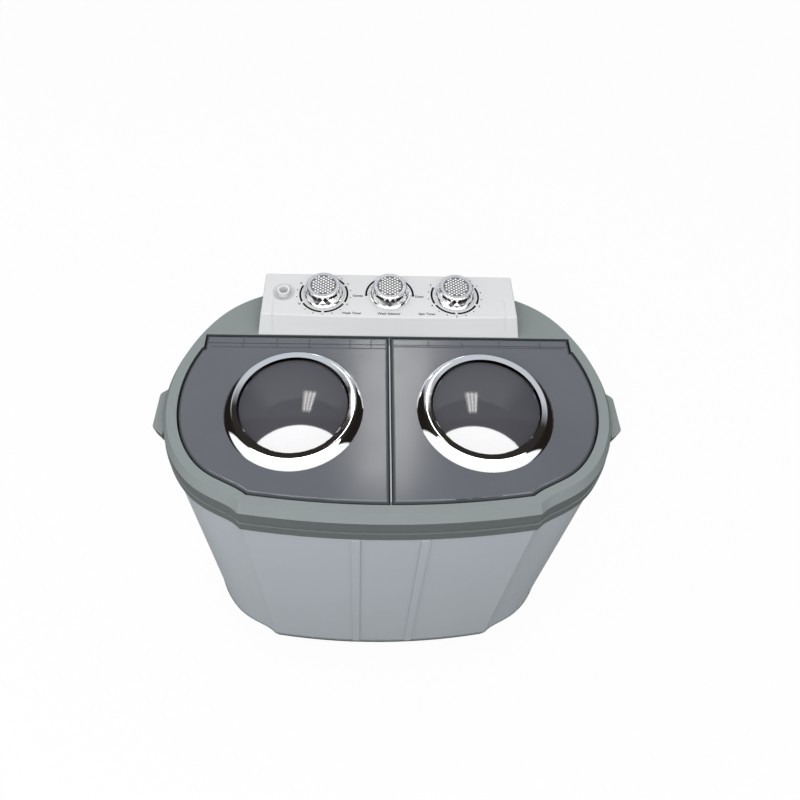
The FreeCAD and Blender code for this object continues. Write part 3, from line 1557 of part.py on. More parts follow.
def make_spin_basket():
    bore = d.spin_shaft_radius + d.shaft_fit
    height = basket_top - basket_bottom
    wall = d.basket_wall
    radius = basket_radius
    turn = d.basket_floor_radius
    bend = turn * (1 - math.sqrt(1 / 2))
    body = turned("spin_basket", [
        (bore, ZERO), (radius - turn, ZERO), (radius - bend, bend, "via"), (radius, turn),
        (radius, height), (radius - wall, height), (radius - wall, turn),
        (radius - bend - wall * 0.7, bend + wall * 0.7, "via"), (radius - turn, wall),
        (d.basket_hub_radius, wall), (d.basket_hub_radius * 0.7, d.basket_hub_height),
        (bore, d.basket_hub_height)], tub_x, tub_place, basket_bottom)
    holes = new_sketch(body, "XZ_Plane")
    pitch = (height - d.basket_hole_margin * 2) / (d.basket_hole_rows - 1)
    for row in range(int(float(d.basket_hole_rows))):
        draw_circle(
            holes, d.basket_hole_radius, ZERO, d.basket_hole_margin + pitch * row)
    polar(body, pocket(body, holes, radius + d.overrun), d.basket_hole_count)
    return body


def make_basket_ring():
    """The hollow balance ring on the basket's edge."""
    outer = basket_radius
    inner = outer - d.basket_ring_depth
    height = d.basket_ring_height
    edge = d.basket_ring_depth / 4
    return turned("basket_ring", [
        (inner, ZERO), (outer, ZERO), (outer, height - edge), (outer - edge, height),
        (inner + edge, height), (inner, height - edge)], tub_x, tub_place, basket_top)


def drum_bottom():
    return spin_motor_bottom + motor_height + d.motor_boss_height + d.drum_gap


def make_brake_drum():
    bore = d.spin_shaft_radius + d.shaft_fit
    wall = d.drum_wall
    top = d.drum_height
    inside = d.drum_radius - wall
    return turned("brake_drum", [
        (bore, ZERO), (d.pulley_hub_radius, ZERO), (d.pulley_hub_radius, top - wall),
        (inside, top - wall), (inside, ZERO), (d.drum_radius, ZERO), (d.drum_radius, top),
        (bore, top)], tub_x, tub_place, drum_bottom())


def make_spin_plate():
    """The plate under the spin motor, with the post that the brake lever turns on."""
    bottom = spin_motor_bottom - d.bracket_thickness
    shape = rod(d.spin_plate_radius, d.bracket_thickness, tub_x, tub_place, bottom)
    post_height = drum_bottom() + d.drum_height - bottom
    post = rod(
        d.brake_post_radius, post_height, tub_x + d.brake_post_x, tub_place + d.brake_post_y,
        bottom)
    seat_top = drum_bottom() + (d.drum_height - d.brake_arm_height) / 2 - d.running_gap
    seat = rod(
        d.brake_post_radius + d.wall, seat_top - bottom, tub_x + d.brake_post_x,
        tub_place + d.brake_post_y, bottom)
    return solid_part("spin_motor_plate", shape.fuse([post, seat]).removeSplitter())


def make_spin_mounts():
    """Three rubber mounts with a waist, between the base pan and the motor's plate."""
    height = d.mount_height
    wide = float(d.mount_radius)
    narrow = float(d.mount_waist)
    rise = float(height)
    profile = Part.Wire([
        Part.makeLine(Vector(0, 0, 0), Vector(wide, 0, 0)),
        Part.Arc(Vector(wide, 0, 0), Vector(narrow, 0, rise / 2), Vector(wide, 0, rise)).toShape(),
        Part.makeLine(Vector(wide, 0, rise), Vector(0, 0, rise)),
        Part.makeLine(Vector(0, 0, rise), Vector(0, 0, 0))])
    shape = Part.Face(profile).revolve(Vector(0, 0, 0), Vector(0, 0, 1), 360)
    mounts = []
    for step in range(3):
        angle = math.radians(90 + 120 * step)
        place = Vector(
            float(tub_x) + float(d.mount_place) * math.cos(angle),
            float(tub_place) + float(d.mount_place) * math.sin(angle), float(pan_floor_top))
        mounts.append(shape.translated(place))
    return group_part("spin_motor_mounts", mounts)


def make_brake_lever():
    """The lever on the post, with the shoe that closes on the drum."""
    x = tub_x + d.brake_post_x
    y = tub_place + d.brake_post_y
    z = drum_bottom() + (d.drum_height - d.brake_arm_height) / 2
    half = d.brake_arm_width / 2
    arm = box(x - half, x + half, y, y + d.brake_arm_reach, z, z + d.brake_arm_height)
    hub = rod(d.brake_post_radius + d.brake_arm_width / 2, d.brake_arm_height, x, y, z)
    shoe_z = z + (d.brake_arm_height - d.brake_shoe_height) / 2
    shoe = box(
        tub_x + d.drum_radius + d.brake_shoe_gap, x, tub_place - d.brake_shoe_width / 2,
        tub_place + d.brake_shoe_width / 2, shoe_z, shoe_z + d.brake_shoe_height)
    bore = rod(d.brake_post_radius + d.shaft_fit, d.brake_arm_height, x, y, z)
    return solid_part("brake_lever", arm.fuse([hub, shoe]).cut(bore).removeSplitter())


def make_brake_cable():
    """The cable from the spin lid's switch down to the lever's tail."""
    x = tub_x + d.brake_post_x
    tail = tub_place + d.brake_post_y + d.brake_arm_reach
    z = drum_bottom() + d.drum_height / 2
    return solid_part("brake_cable", tube([
        (x, cable_place, deck_under), (x, cable_place, z), (x, tail + d.cable_gap, z)],
        d.cable_radius, d.drain_bend))


def make_lid_switch():
    body = new_body(
        "lid_switch", tub_x + d.switch_place_x, half_depth - d.switch_rear_gap,
        deck_under - d.switch_height)
    solid = pad(body, draw(new_sketch(body, "XY_Plane"), box_path(
        -d.switch_width / 2, d.switch_width / 2, -d.switch_depth / 2, d.switch_depth / 2)),
        d.switch_height)
    fillet(body, solid, d.wall, upright)
    return body


# Drain valve, its rod and its pipes

def port_height():
    return valve_bottom + d.valve_port_height


def make_drain_valve():
    x, y, bottom = valve_place_x, valve_place_y, valve_bottom
    shape = rod(d.valve_radius, d.valve_height, x, y, bottom)
    reach = d.valve_radius + d.valve_stub
    ways = (Vector(0, -1, 0), Vector(1, 0, 0))
    shape = shape.fuse([rod(d.drain_pipe_radius, reach, x, y, port_height(), way) for way in ways])
    bore = d.drain_pipe_radius - d.drain_pipe_wall
    shape = shape.cut(rod(
        d.valve_radius - d.valve_wall, d.valve_height - d.valve_wall * 2, x, y,
        bottom + d.valve_wall))
    for way in ways:
        shape = shape.cut(rod(bore, reach, x, y, port_height(), way))
    shape = shape.cut(rod(bore, d.valve_wall, x, y, bottom))
    shape = shape.cut(rod(
        d.rod_radius + d.running_gap, d.valve_wall, x, y, bottom + d.valve_height - d.valve_wall))
    return solid_part("drain_valve_body", shape.removeSplitter())


def make_drain_plunger():
    z = valve_bottom + d.valve_wall + d.running_gap
    return turned("drain_plunger", [
        (ZERO, ZERO), (d.plug_radius * 0.7, ZERO), (d.plug_radius, d.plug_height / 3),
        (d.plug_radius, d.plug_height * 0.6), (d.rod_radius * 2, d.plug_height),
        (ZERO, d.plug_height)], valve_place_x, valve_place_y, z)


def make_drain_rod():
    """The pull rod: up from the plunger, then across above the selector's cam."""
    foot = valve_bottom + d.valve_wall + d.running_gap + d.plug_height
    top = cam_bottom() + d.cam_thickness + d.rod_radius + d.cam_arm_gap
    return solid_part("drain_rod", tube([
        (valve_place_x, valve_place_y, foot), (valve_place_x, valve_place_y, top),
        (-d.cam_radius * 0.7, dial_place, top)], d.rod_radius, d.rod_radius * 3))


def make_wash_drain_pipe():
    x, z = valve_place_x, port_height()
    stop = valve_place_y - d.valve_radius - d.valve_stub
    return solid_part("wash_drain_pipe", pipe(
        [(x, wash_port_y, tub_bottom), (x, wash_port_y, z), (x, stop, z)],
        d.drain_pipe_radius, d.drain_pipe_radius - d.drain_pipe_wall, d.drain_bend))


def make_spin_drain_pipe():
    x, y, z = spin_port_x, spin_port_y, port_height()
    stop = valve_place_x + d.valve_radius + d.valve_stub
    return solid_part("spin_drain_pipe", pipe(
        [(x, y, tub_bottom), (x, y, z), (x, valve_place_y, z), (stop, valve_place_y, z)],
        d.drain_pipe_radius, d.drain_pipe_radius - d.drain_pipe_wall, d.drain_bend))


def make_drain_outlet():
    """The elbow from the valve to the hose's spigot in the rear wall, with its collar."""
    x, z = valve_place_x, outlet_height
    face = seat_place(x, z, d.outlet_collar_radius)
    stop = face + float(d.outlet_collar_width)
    shape = tube(
        [(x, valve_place_y, valve_bottom), (x, valve_place_y, z), (x, stop, z)],
        d.drain_pipe_radius, d.drain_bend)
    collar = rod(d.outlet_collar_radius, d.outlet_collar_width, x, face, z, Vector(0, 1, 0))
    bore = tube(
        [(x, valve_place_y, valve_bottom), (x, valve_place_y, z), (x, stop, z)],
        d.drain_pipe_radius - d.drain_pipe_wall, d.drain_bend)
    return solid_part("drain_outlet", shape.fuse(collar).cut(bore))


# Electrics

def make_capacitor():
    body = new_body(
        "capacitor", d.capacitor_x, half_depth - d.capacitor_rear_gap, pan_floor_top)
    solid = pad(body, draw(new_sketch(body, "XY_Plane"), box_path(
        -d.capacitor_width / 2, d.capacitor_width / 2,
        -d.capacitor_depth / 2, d.capacitor_depth / 2)), d.capacitor_height)
    fillet(body, solid, d.timer_case_edge, upright)
    return body


def make_cable_gland():
    """The inlet for the mains lead, in the rear wall."""
    back = Vector(0, 1, 0)
    x, z = d.gland_x, outlet_height
    face = seat_place(x, z, d.gland_flange_radius)
    neck = d.gland_flange_radius
    start = face - float(neck)
    shape = rod(d.gland_radius, neck, x, start, z, back)
    shape = shape.fuse(rod(d.gland_flange_radius, d.gland_flange_width, x, face, z, back))
    shape = shape.cut(rod(d.gland_bore, neck + d.gland_flange_width, x, start, z, back))
    return solid_part("cable_gland", shape)


wash_motor = (-tub_x, wash_motor_place, wash_motor_bottom)
spin_motor = (tub_x, tub_place, spin_motor_bottom)
shaft_foot = d.motor_cap_height + d.running_gap

make_top_frame()
make_body_shell()
make_base_pan()
make_feet()
make_rear_cover()
make_cover_screws()
for name, side in (("wash", -1), ("spin", 1)):
    make_lid(f"{name}_lid", side)
    make_ring(f"{name}_lid_ring", tub_x * side)
    make_window(f"{name}_lid_window", tub_x * side)
make_hinge_pins()
make_control_panel()
make_panel_base()
for name, step in (("wash_timer", -1), ("spin_timer", 1)):
    make_knob(f"{name}_knob", d.dial_spacing * step)
    make_knob_shaft(f"{name}_shaft", d.dial_spacing * step, d.knob_shaft_depth)
    make_timer(name, d.dial_spacing * step)
make_knob("selector_knob", ZERO)
make_knob_shaft("selector_shaft", ZERO, d.selector_shaft_depth)
make_selector_bracket()
make_selector_cam()
make_inlet_pipe()
make_wash_tub()
make_lint_filter()
make_pulsator()
make_pulsator_bearing()
pulsator_top = tub_bottom + d.wall + d.pulsator_gap + d.pulsator_height - d.pulsator_thickness
shaft_bottom = pulley_bottom - d.pulley_flange
keep(make_cylinder(
    "pulsator_shaft", d.wash_shaft_radius, pulsator_top - shaft_bottom, -tub_x, tub_place,
    shaft_bottom), "pulsator_shaft")
make_pulsator_pulley()
make_motor_pulley()
make_drive_belt()
make_motor_frame("wash_motor_frame", *wash_motor)
make_stator("wash_motor_stator", *wash_motor)
make_motor_bracket()
keep(make_cylinder(
    "wash_motor_shaft", d.wash_shaft_radius,
    pulley_bottom + d.pulley_height - wash_motor_bottom - shaft_foot, -tub_x,
    wash_motor_place, wash_motor_bottom + shaft_foot), "wash_motor_shaft")
make_spin_tub()
make_spin_seal()
make_spin_basket()
make_basket_ring()
keep(make_cylinder(
    "spin_shaft", d.spin_shaft_radius,
    basket_bottom + d.basket_hub_height - spin_motor_bottom - shaft_foot, tub_x, tub_place,
    spin_motor_bottom + shaft_foot), "spin_shaft")
make_brake_drum()
make_motor_frame("spin_motor_frame", *spin_motor)
make_stator("spin_motor_stator", *spin_motor)
make_spin_plate()
make_spin_mounts()
make_brake_lever()
make_brake_cable()
make_lid_switch()
make_drain_valve()
make_drain_plunger()
make_drain_rod()
make_wash_drain_pipe()
make_spin_drain_pipe()
make_drain_outlet()
make_capacitor()
make_cable_gland()
doc.recompute()

for item in doc.Objects:
    if "Invalid" in item.State or "Error" in item.State:
        raise RuntimeError(f"{item.Label} failed: {item.State}")
for part in parts:
    if part.Shape.isNull() or not part.Shape.isValid():
        raise RuntimeError(f"{part.Label} has no valid shape")
os.makedirs("parts", exist_ok=True)
for part in parts:
    part.Shape.exportStep(f"parts/{part.Label}.step")
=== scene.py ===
import json
import math

import bmesh
import bpy
from mathutils import Matrix, Vector


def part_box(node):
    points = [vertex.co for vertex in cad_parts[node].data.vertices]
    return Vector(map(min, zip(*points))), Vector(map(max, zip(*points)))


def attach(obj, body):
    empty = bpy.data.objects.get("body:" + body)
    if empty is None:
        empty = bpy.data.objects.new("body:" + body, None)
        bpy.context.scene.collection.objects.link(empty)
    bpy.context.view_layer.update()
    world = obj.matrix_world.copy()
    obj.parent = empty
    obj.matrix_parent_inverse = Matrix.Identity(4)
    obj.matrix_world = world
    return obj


# Portable washer and spin dryer, dressed over its CAD frame. Metres, Z up, the front faces -Y.

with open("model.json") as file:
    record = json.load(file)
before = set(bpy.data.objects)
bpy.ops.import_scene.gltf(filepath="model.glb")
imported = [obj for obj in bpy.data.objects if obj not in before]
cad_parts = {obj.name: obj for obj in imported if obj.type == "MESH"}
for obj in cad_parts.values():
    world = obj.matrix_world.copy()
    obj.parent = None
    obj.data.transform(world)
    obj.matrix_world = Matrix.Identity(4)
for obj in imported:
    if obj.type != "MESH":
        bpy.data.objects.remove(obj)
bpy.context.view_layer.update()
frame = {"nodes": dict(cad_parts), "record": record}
nodes = frame["nodes"]

MM = 0.001
PANEL_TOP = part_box("control_panel")[1].z
DIAL_Y = (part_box("selector_knob")[0].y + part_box("selector_knob")[1].y) / 2
KNOBS = {
    name: (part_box(name)[0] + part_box(name)[1]) / 2
    for name in ("wash_timer_knob", "selector_knob", "spin_timer_knob")}


# Node helpers

def node(tree, kind, **values):
    made = tree.nodes.new(kind)
    for key, value in values.items():
        if hasattr(made, key):
            setattr(made, key, value)
        else:
            made.inputs[key.replace("_", " ")].default_value = value
    return made


def link(tree, source, target):
    tree.links.new(source, target)


def object_coordinates(tree):
    return node(tree, "ShaderNodeTexCoord").outputs["Object"]


def noise(tree, scale, detail=3.0, roughness=0.5):
    made = node(tree, "ShaderNodeTexNoise")
    made.inputs["Scale"].default_value = scale
    made.inputs["Detail"].default_value = detail
    made.inputs["Roughness"].default_value = roughness
    link(tree, object_coordinates(tree), made.inputs["Vector"])
    return made.outputs["Fac"]


def remap(tree, value, low, high, from_low=0.3, from_high=0.7):
    made = node(tree, "ShaderNodeMapRange")
    made.inputs["From Min"].default_value = from_low
    made.inputs["From Max"].default_value = from_high
    made.inputs["To Min"].default_value = low
    made.inputs["To Max"].default_value = high
    link(tree, value, made.inputs["Value"])
    return made.outputs["Result"]


def blend_colours(tree, share, first, second):
    made = node(tree, "ShaderNodeMix", data_type="RGBA")
    made.inputs["A"].default_value = (*first, 1)
    made.inputs["B"].default_value = (*second, 1)
    link(tree, share, made.inputs["Factor"])
    return made.outputs["Result"]


def plain_colour(tree, colour):
    made = node(tree, "ShaderNodeRGB")
    made.outputs[0].default_value = (*colour, 1)
    return made.outputs[0]


def bright_colour(tree, colour, strength):
    """A colour that may be brighter than white."""
    made = node(tree, "ShaderNodeVectorMath", operation="SCALE")
    link(tree, plain_colour(tree, colour), made.inputs[0])
    made.inputs["Scale"].default_value = strength
    return made.outputs[0]


def maths(tree, operation, *values):
    """One maths node; each value is a number or a socket."""
    made = node(tree, "ShaderNodeMath", operation=operation)
    for socket, value in zip(made.inputs, values):
        if isinstance(value, (int, float)):
            socket.default_value = value
        else:
            link(tree, value, socket)
    return made.outputs[0]


def ramp(tree, value, stops):
    made = node(tree, "ShaderNodeValToRGB")
    elements = made.color_ramp.elements
    elements[0].position, elements[1].position = stops[0][0], stops[-1][0]
    elements[0].color, elements[1].color = (*stops[0][1], 1), (*stops[-1][1], 1)
    for place, colour in stops[1:-1]:
        elements.new(place).color = (*colour, 1)
    link(tree, value, made.inputs["Fac"])
    return made.outputs["Color"]


def mix_sockets(tree, share, first, second):
    made = node(tree, "ShaderNodeMix", data_type="RGBA")
    link(tree, share, made.inputs["Factor"])
    link(tree, first, made.inputs["A"])
    link(tree, second, made.inputs["B"])
    return made.outputs["Result"]


def shaded(tree, colour, share):
    """The colour, scaled by a share."""
    made = node(tree, "ShaderNodeVectorMath", operation="SCALE")
    link(tree, colour, made.inputs[0])
    link(tree, share, made.inputs["Scale"])
    return made.outputs[0]


def axis_parts(tree, vector):
    """The X, Y and Z of a vector."""
    made = node(tree, "ShaderNodeSeparateXYZ")
    link(tree, vector, made.inputs[0])
    return made.outputs


def object_normal(tree):
    return node(tree, "ShaderNodeTexCoord").outputs["Normal"]


def add_bump(tree, shader, height, strength, distance):
    made = node(tree, "ShaderNodeBump")
    made.inputs["Strength"].default_value = strength
    made.inputs["Distance"].default_value = distance
    link(tree, height, made.inputs["Height"])
    link(tree, made.outputs["Normal"], shader.inputs["Normal"])


def new_material(name, **values):
    made = bpy.data.materials.new(name)
    made.use_nodes = True
    tree = made.node_tree
    shader = tree.nodes["Principled BSDF"]
    for key, value in values.items():
        shader.inputs[key].default_value = value
    return made, tree, shader


# Materials

CLOUD_SCALE = 14.0
GLOSS_SCALE = 45.0
SOFT_DISTANCE = 60 * MM
# Where the painted shade in creases and on steep walls fades in.
CREASE_SHADE_OPEN = (0.3, 0.95)
WALL_SHADE_FACING = (0.2, 0.8)
STEEP_FACING = (0.53, 0.58)
DISH_SHADE = 0.84
LACQUER_IOR = 2.4
LACQUER_ROUGHNESS = 0.03


def link_uneven_gloss(tree, shader, scale, rough):
    link(tree, remap(tree, noise(tree, scale, 4.0), rough * 0.85, rough * 1.15),
         shader.inputs["Roughness"])


def moulded(name, colour, rough, grain=900.0, grain_depth=0.02, cloud=0.03, crease_shade=0.0,
            wall_shade=0.0, **values):
    """Moulded plastic: a little cloudy, fine grain, uneven gloss, with painted shade in creases
    and on steep walls.
    """
    made, tree, shader = new_material(name, **values)
    darker = [channel * (1 - cloud) for channel in colour]
    lighter = [min(1, channel * (1 + cloud)) for channel in colour]
    clouds = remap(tree, noise(tree, CLOUD_SCALE), 0, 1)
    tint = blend_colours(tree, clouds, darker, lighter)
    # Painted shade: ambient occlusion darkens the colour in creases and hollows.
    if crease_shade:
        open_share = node(tree, "ShaderNodeAmbientOcclusion", samples=8)
        open_share.inputs["Distance"].default_value = SOFT_DISTANCE
        tint = shaded(tree, tint, remap(
            tree, open_share.outputs["AO"], 1 - crease_shade, 1, *CREASE_SHADE_OPEN))
    # Painted shade: the colour darkens as the face turns from upward to steep.
    if wall_shade:
        upward = axis_parts(tree, object_normal(tree))["Z"]
        tint = shaded(tree, tint, remap(tree, upward, 1 - wall_shade, 1, *WALL_SHADE_FACING))
    link(tree, tint, shader.inputs["Base Color"])
    link_uneven_gloss(tree, shader, GLOSS_SCALE, rough)
    add_bump(tree, shader, noise(tree, grain, 2.0), 0.25, grain_depth * MM)
    return made


def smoked(name, colour, turned_edge_shade, rough, **values):
    """Smoked clear plastic: hazy, a little uneven, with painted shade where its edge turns down.
    """
    made, tree, shader = new_material(name, **values)
    clouds = remap(tree, noise(tree, 6.0), 0, 1)
    hazier = [channel * 1.10 for channel in colour]
    face = blend_colours(tree, clouds, colour, hazier)
    upward = axis_parts(tree, node(tree, "ShaderNodeNewGeometry").outputs["Normal"])["Z"]
    flat = remap(tree, maths(tree, "ABSOLUTE", upward), 0, 1, 0.90, 0.995)
    turned = maths(tree, "SUBTRACT", 1.0, flat)
    link(tree, maths(tree, "MULTIPLY", flat, 0.5), shader.inputs["Specular IOR Level"])
    # Painted shade: the turned-down edge takes a darker colour than the face.
    edge = plain_colour(tree, turned_edge_shade)
    link(tree, mix_sockets(tree, turned, face, edge), shader.inputs["Base Color"])
    link_uneven_gloss(tree, shader, 30.0, rough)
    add_bump(tree, shader, noise(tree, 25.0, 2.0), 0.2, 0.05 * MM)
    return made


def add_lacquer(material, start, end):
    """A glossy lacquer on the part of a dome that slopes to the front."""
    tree = material.node_tree
    shader = tree.nodes["Principled BSDF"]
    shader.inputs["Coat IOR"].default_value = LACQUER_IOR
    shader.inputs["Coat Roughness"].default_value = LACQUER_ROUGHNESS
    backward = axis_parts(tree, object_normal(tree))["Y"]
    link(tree, remap(tree, backward, 1, 0, -end, -start), shader.inputs["Coat Weight"])


def metal(name, colour, rough, stretch=(1, 1, 1), grain=400.0, depth=0.004):
    """Bare metal, with marks drawn out along one axis."""
    made, tree, shader = new_material(name, Metallic=1.0)
    mapping = node(tree, "ShaderNodeMapping")
    mapping.inputs["Scale"].default_value = stretch
    link(tree, object_coordinates(tree), mapping.inputs["Vector"])
    marks = node(tree, "ShaderNodeTexNoise")
    marks.inputs["Scale"].default_value = grain
    marks.inputs["Detail"].default_value = 4.0
    link(tree, mapping.outputs["Vector"], marks.inputs["Vector"])
    dull = [channel * 0.93 for channel in colour]
    link(tree, blend_colours(tree, remap(tree, marks.outputs["Fac"], 0, 1), dull, colour),
         shader.inputs["Base Color"])
    link(tree, remap(tree, marks.outputs["Fac"], rough * 0.8, rough * 1.25),
         shader.inputs["Roughness"])
    add_bump(tree, shader, marks.outputs["Fac"], 0.2, depth * MM)
    return made


def rolled_normal(tree, centre, rolls):
    """The normal of a ring whose crest rolls over outwards, given as (start, end, degrees)."""
    place = axis_parts(tree, object_coordinates(tree))
    side = maths(tree, "SIGN", place["X"])
    across = maths(tree, "SUBTRACT", maths(tree, "ABSOLUTE", place["X"]), centre.x)
    along = maths(tree, "SUBTRACT", place["Y"], centre.y)
    radius = maths(tree, "SQRT", maths(tree, "ADD", maths(tree, "MULTIPLY", across, across),
                                       maths(tree, "MULTIPLY", along, along)))
    tilt = 0.0
    for start, end, degrees in rolls:
        tilt = maths(tree, "ADD", tilt, remap(
            tree, radius, 0, math.radians(degrees), start * MM, end * MM))
    outward = maths(tree, "DIVIDE", maths(tree, "SINE", tilt), radius)
    rolled = node(tree, "ShaderNodeCombineXYZ")
    link(tree, maths(tree, "MULTIPLY", maths(tree, "MULTIPLY", across, side), outward),
         rolled.inputs["X"])
    link(tree, maths(tree, "MULTIPLY", along, outward), rolled.inputs["Y"])
    link(tree, maths(tree, "COSINE", tilt), rolled.inputs["Z"])
    own = object_normal(tree)
    gentle = remap(tree, axis_parts(tree, own)["Z"], 0, 1, *STEEP_FACING)
    chosen = mix_sockets(tree, gentle, own, rolled.outputs[0])
    turned = node(tree, "ShaderNodeVectorTransform", vector_type="NORMAL", convert_from="OBJECT",
                  convert_to="WORLD")
    link(tree, chosen, turned.inputs[0])
    return turned.outputs[0]


def round_ring(material, box, rolls):
    """Gives a ring's material the look of a crest that rolls over."""
    tree = material.node_tree
    centre = (box[0] + box[1]) / 2
    link(tree, rolled_normal(tree, centre, rolls), tree.nodes["Bump"].inputs["Normal"])


def add_dish(material, centre, inner, outer, depth):
    """The look of a round dish sunk into a flat face, with its bottom in light shade."""
    tree = material.node_tree
    shader = tree.nodes["Principled BSDF"]
    flat = node(tree, "ShaderNodeVectorMath", operation="MULTIPLY")
    link(tree, object_coordinates(tree), flat.inputs[0])
    flat.inputs[1].default_value = (1, 1, 0)
    away = node(tree, "ShaderNodeVectorMath", operation="DISTANCE")
    link(tree, flat.outputs[0], away.inputs[0])
    away.inputs[1].default_value = (centre.x, centre.y, 0)
    height = remap(tree, away.outputs["Value"], 0, 1, inner, outer)
    fine = shader.inputs["Normal"].links[0].from_node
    bump = node(tree, "ShaderNodeBump")
    bump.inputs["Strength"].default_value = 1.0
    bump.inputs["Distance"].default_value = depth
    link(tree, height, bump.inputs["Height"])
    link(tree, bump.outputs["Normal"], fine.inputs["Normal"])
    colour = shader.inputs["Base Color"].links[0].from_socket
    link(tree, shaded(tree, colour, remap(tree, height, DISH_SHADE, 1, 0, 1)),
         shader.inputs["Base Color"])


def chrome(name, colour, rough, wall_shade=1.0):
    """Plated plastic: a mirror with the slightest wave in it, with painted shade darkening its
    steep walls.
    """
    made, tree, shader = new_material(name, Metallic=1.0)
    warm = [channel * 0.97 for channel in colour]
    tint = blend_colours(tree, remap(tree, noise(tree, 20.0), 0, 1), warm, colour)
    # Painted shade: the mirror colour is darkened on steep walls.
    gentle = remap(tree, axis_parts(tree, object_normal(tree))["Z"], wall_shade, 1, *STEEP_FACING)
    link(tree, shaded(tree, tint, gentle), shader.inputs["Base Color"])
    link(tree, remap(tree, noise(tree, 60.0), rough * 0.6, rough * 1.4),
         shader.inputs["Roughness"])
    add_bump(tree, shader, noise(tree, 30.0, 1.0), 0.15, 0.05 * MM)
    return made


def laminated(name, colour):
    """A stack of thin steel sheets, seen edge on."""
    made, tree, shader = new_material(name, Metallic=1.0, Roughness=0.45)
    wave = node(tree, "ShaderNodeTexWave", wave_type="BANDS", bands_direction="Z")
    wave.inputs["Scale"].default_value = 320.0
    link(tree, object_coordinates(tree), wave.inputs["Vector"])
    dark = [channel * 0.55 for channel in colour]
    link(tree, blend_colours(tree, wave.outputs["Fac"], dark, colour), shader.inputs["Base Color"])
    add_bump(tree, shader, wave.outputs["Fac"], 0.4, 0.1 * MM)
    return made


LOW_SHEEN = {"Specular IOR Level": 0.15}
MATERIALS = {
    # Painted shade darkens the frame and the shell in their creases, and the frame on its steep
    # walls.
    "frame_plastic": moulded(
        "frame_plastic", (0.256, 0.287, 0.285), 0.48, 350.0, 0.008, 0.02, crease_shade=0.45, wall_shade=0.32,
        **LOW_SHEEN),
    "shell_plastic": moulded(
        "shell_plastic", (0.64, 0.69, 0.735), 0.36, 300.0, 0.004, 0.01, crease_shade=0.25,
        **LOW_SHEEN),
    "pan_plastic": moulded(
        "pan_plastic", (0.22, 0.245, 0.24), 0.50, 350.0, 0.01, 0.03, **LOW_SHEEN),
    "foot_rubber": moulded("foot_rubber", (0.018, 0.018, 0.018), 0.7, 600.0, 0.06, 0.2),
    "plain_steel": metal("plain_steel", (0.50, 0.50, 0.49), 0.36, (1, 14, 1)),
    "panel_plastic": moulded(
        "panel_plastic", (0.75, 0.75, 0.75), 0.24, 60.0, 0.01, 0.01, **LOW_SHEEN),
    "inner_plastic": moulded("inner_plastic", (0.60, 0.60, 0.59), 0.45),
    "case_plastic": moulded("case_plastic", (0.022, 0.022, 0.025), 0.42, 700.0, 0.03, 0.15),
    "pipe_plastic": moulded(
        "pipe_plastic", (0.80, 0.80, 0.80), 0.3, 300.0, 0.004, 0.02, **LOW_SHEEN),
    "tub_plastic": moulded("tub_plastic", (0.42, 0.46, 0.49), 0.32, 300.0, 0.01, 0.03),
    "filter_plastic": moulded("filter_plastic", (0.26, 0.40, 0.47), 0.3, 400.0, 0.01, 0.04),
    "bearing_metal": metal("bearing_metal", (0.36, 0.35, 0.33), 0.4, (1, 1, 10)),
    "belt_rubber": moulded("belt_rubber", (0.016, 0.016, 0.016), 0.65, 800.0, 0.05, 0.2),
    "motor_paint": moulded("motor_paint", (0.030, 0.032, 0.035), 0.35, 250.0, 0.05, 0.1),
    "stator_steel": laminated("stator_steel", (0.42, 0.42, 0.43)),
    "hose_rubber": moulded("hose_rubber", (0.030, 0.030, 0.032), 0.6, 500.0, 0.05, 0.15),
    "capacitor_case": moulded("capacitor_case", (0.66, 0.66, 0.63), 0.25, 500.0, 0.01, 0.02),
    # The lids and windows get painted shade on their turned-down edges.
    "lid_plastic": smoked("lid_plastic", (0.154, 0.164, 0.184), (0.10, 0.11, 0.117), 0.13,
                          Alpha=0.80, IOR=1.5),
    # The ring's steep inner wall is painted nearly black as shade.
    "ring_chrome": chrome("ring_chrome", (0.90, 0.91, 0.93), 0.03, wall_shade=0.04),
    "window_plastic": smoked("window_plastic", (0.100, 0.100, 0.116), (0.06, 0.06, 0.066), 0.03,
                             Alpha=0.82, IOR=1.6),
    "knob_chrome": chrome("knob_chrome", (0.93, 0.93, 0.93), 0.07),
    "shaft_plastic": moulded("shaft_plastic", (0.66, 0.66, 0.63), 0.35),
    "pulsator_plastic": moulded("pulsator_plastic", (0.52, 0.55, 0.57), 0.3, 400.0, 0.01, 0.02),
    "shaft_steel": metal("shaft_steel", (0.62, 0.62, 0.62), 0.2, (1, 1, 12)),
    "pulley_plastic": moulded("pulley_plastic", (0.045, 0.045, 0.05), 0.45, 500.0, 0.03, 0.1),
    "basket_plastic": moulded("basket_plastic", (0.46, 0.50, 0.53), 0.28, 300.0, 0.01, 0.02),
}
PRINT = moulded("dial_print", (0.010, 0.010, 0.012), 0.6, 900.0, 0.01, 0.1,
                **{"Specular IOR Level": 0.02})
KNURL = moulded("knurled_cap", (0.93, 0.93, 0.93), 0.25, 200.0, 0.01, 0.01)
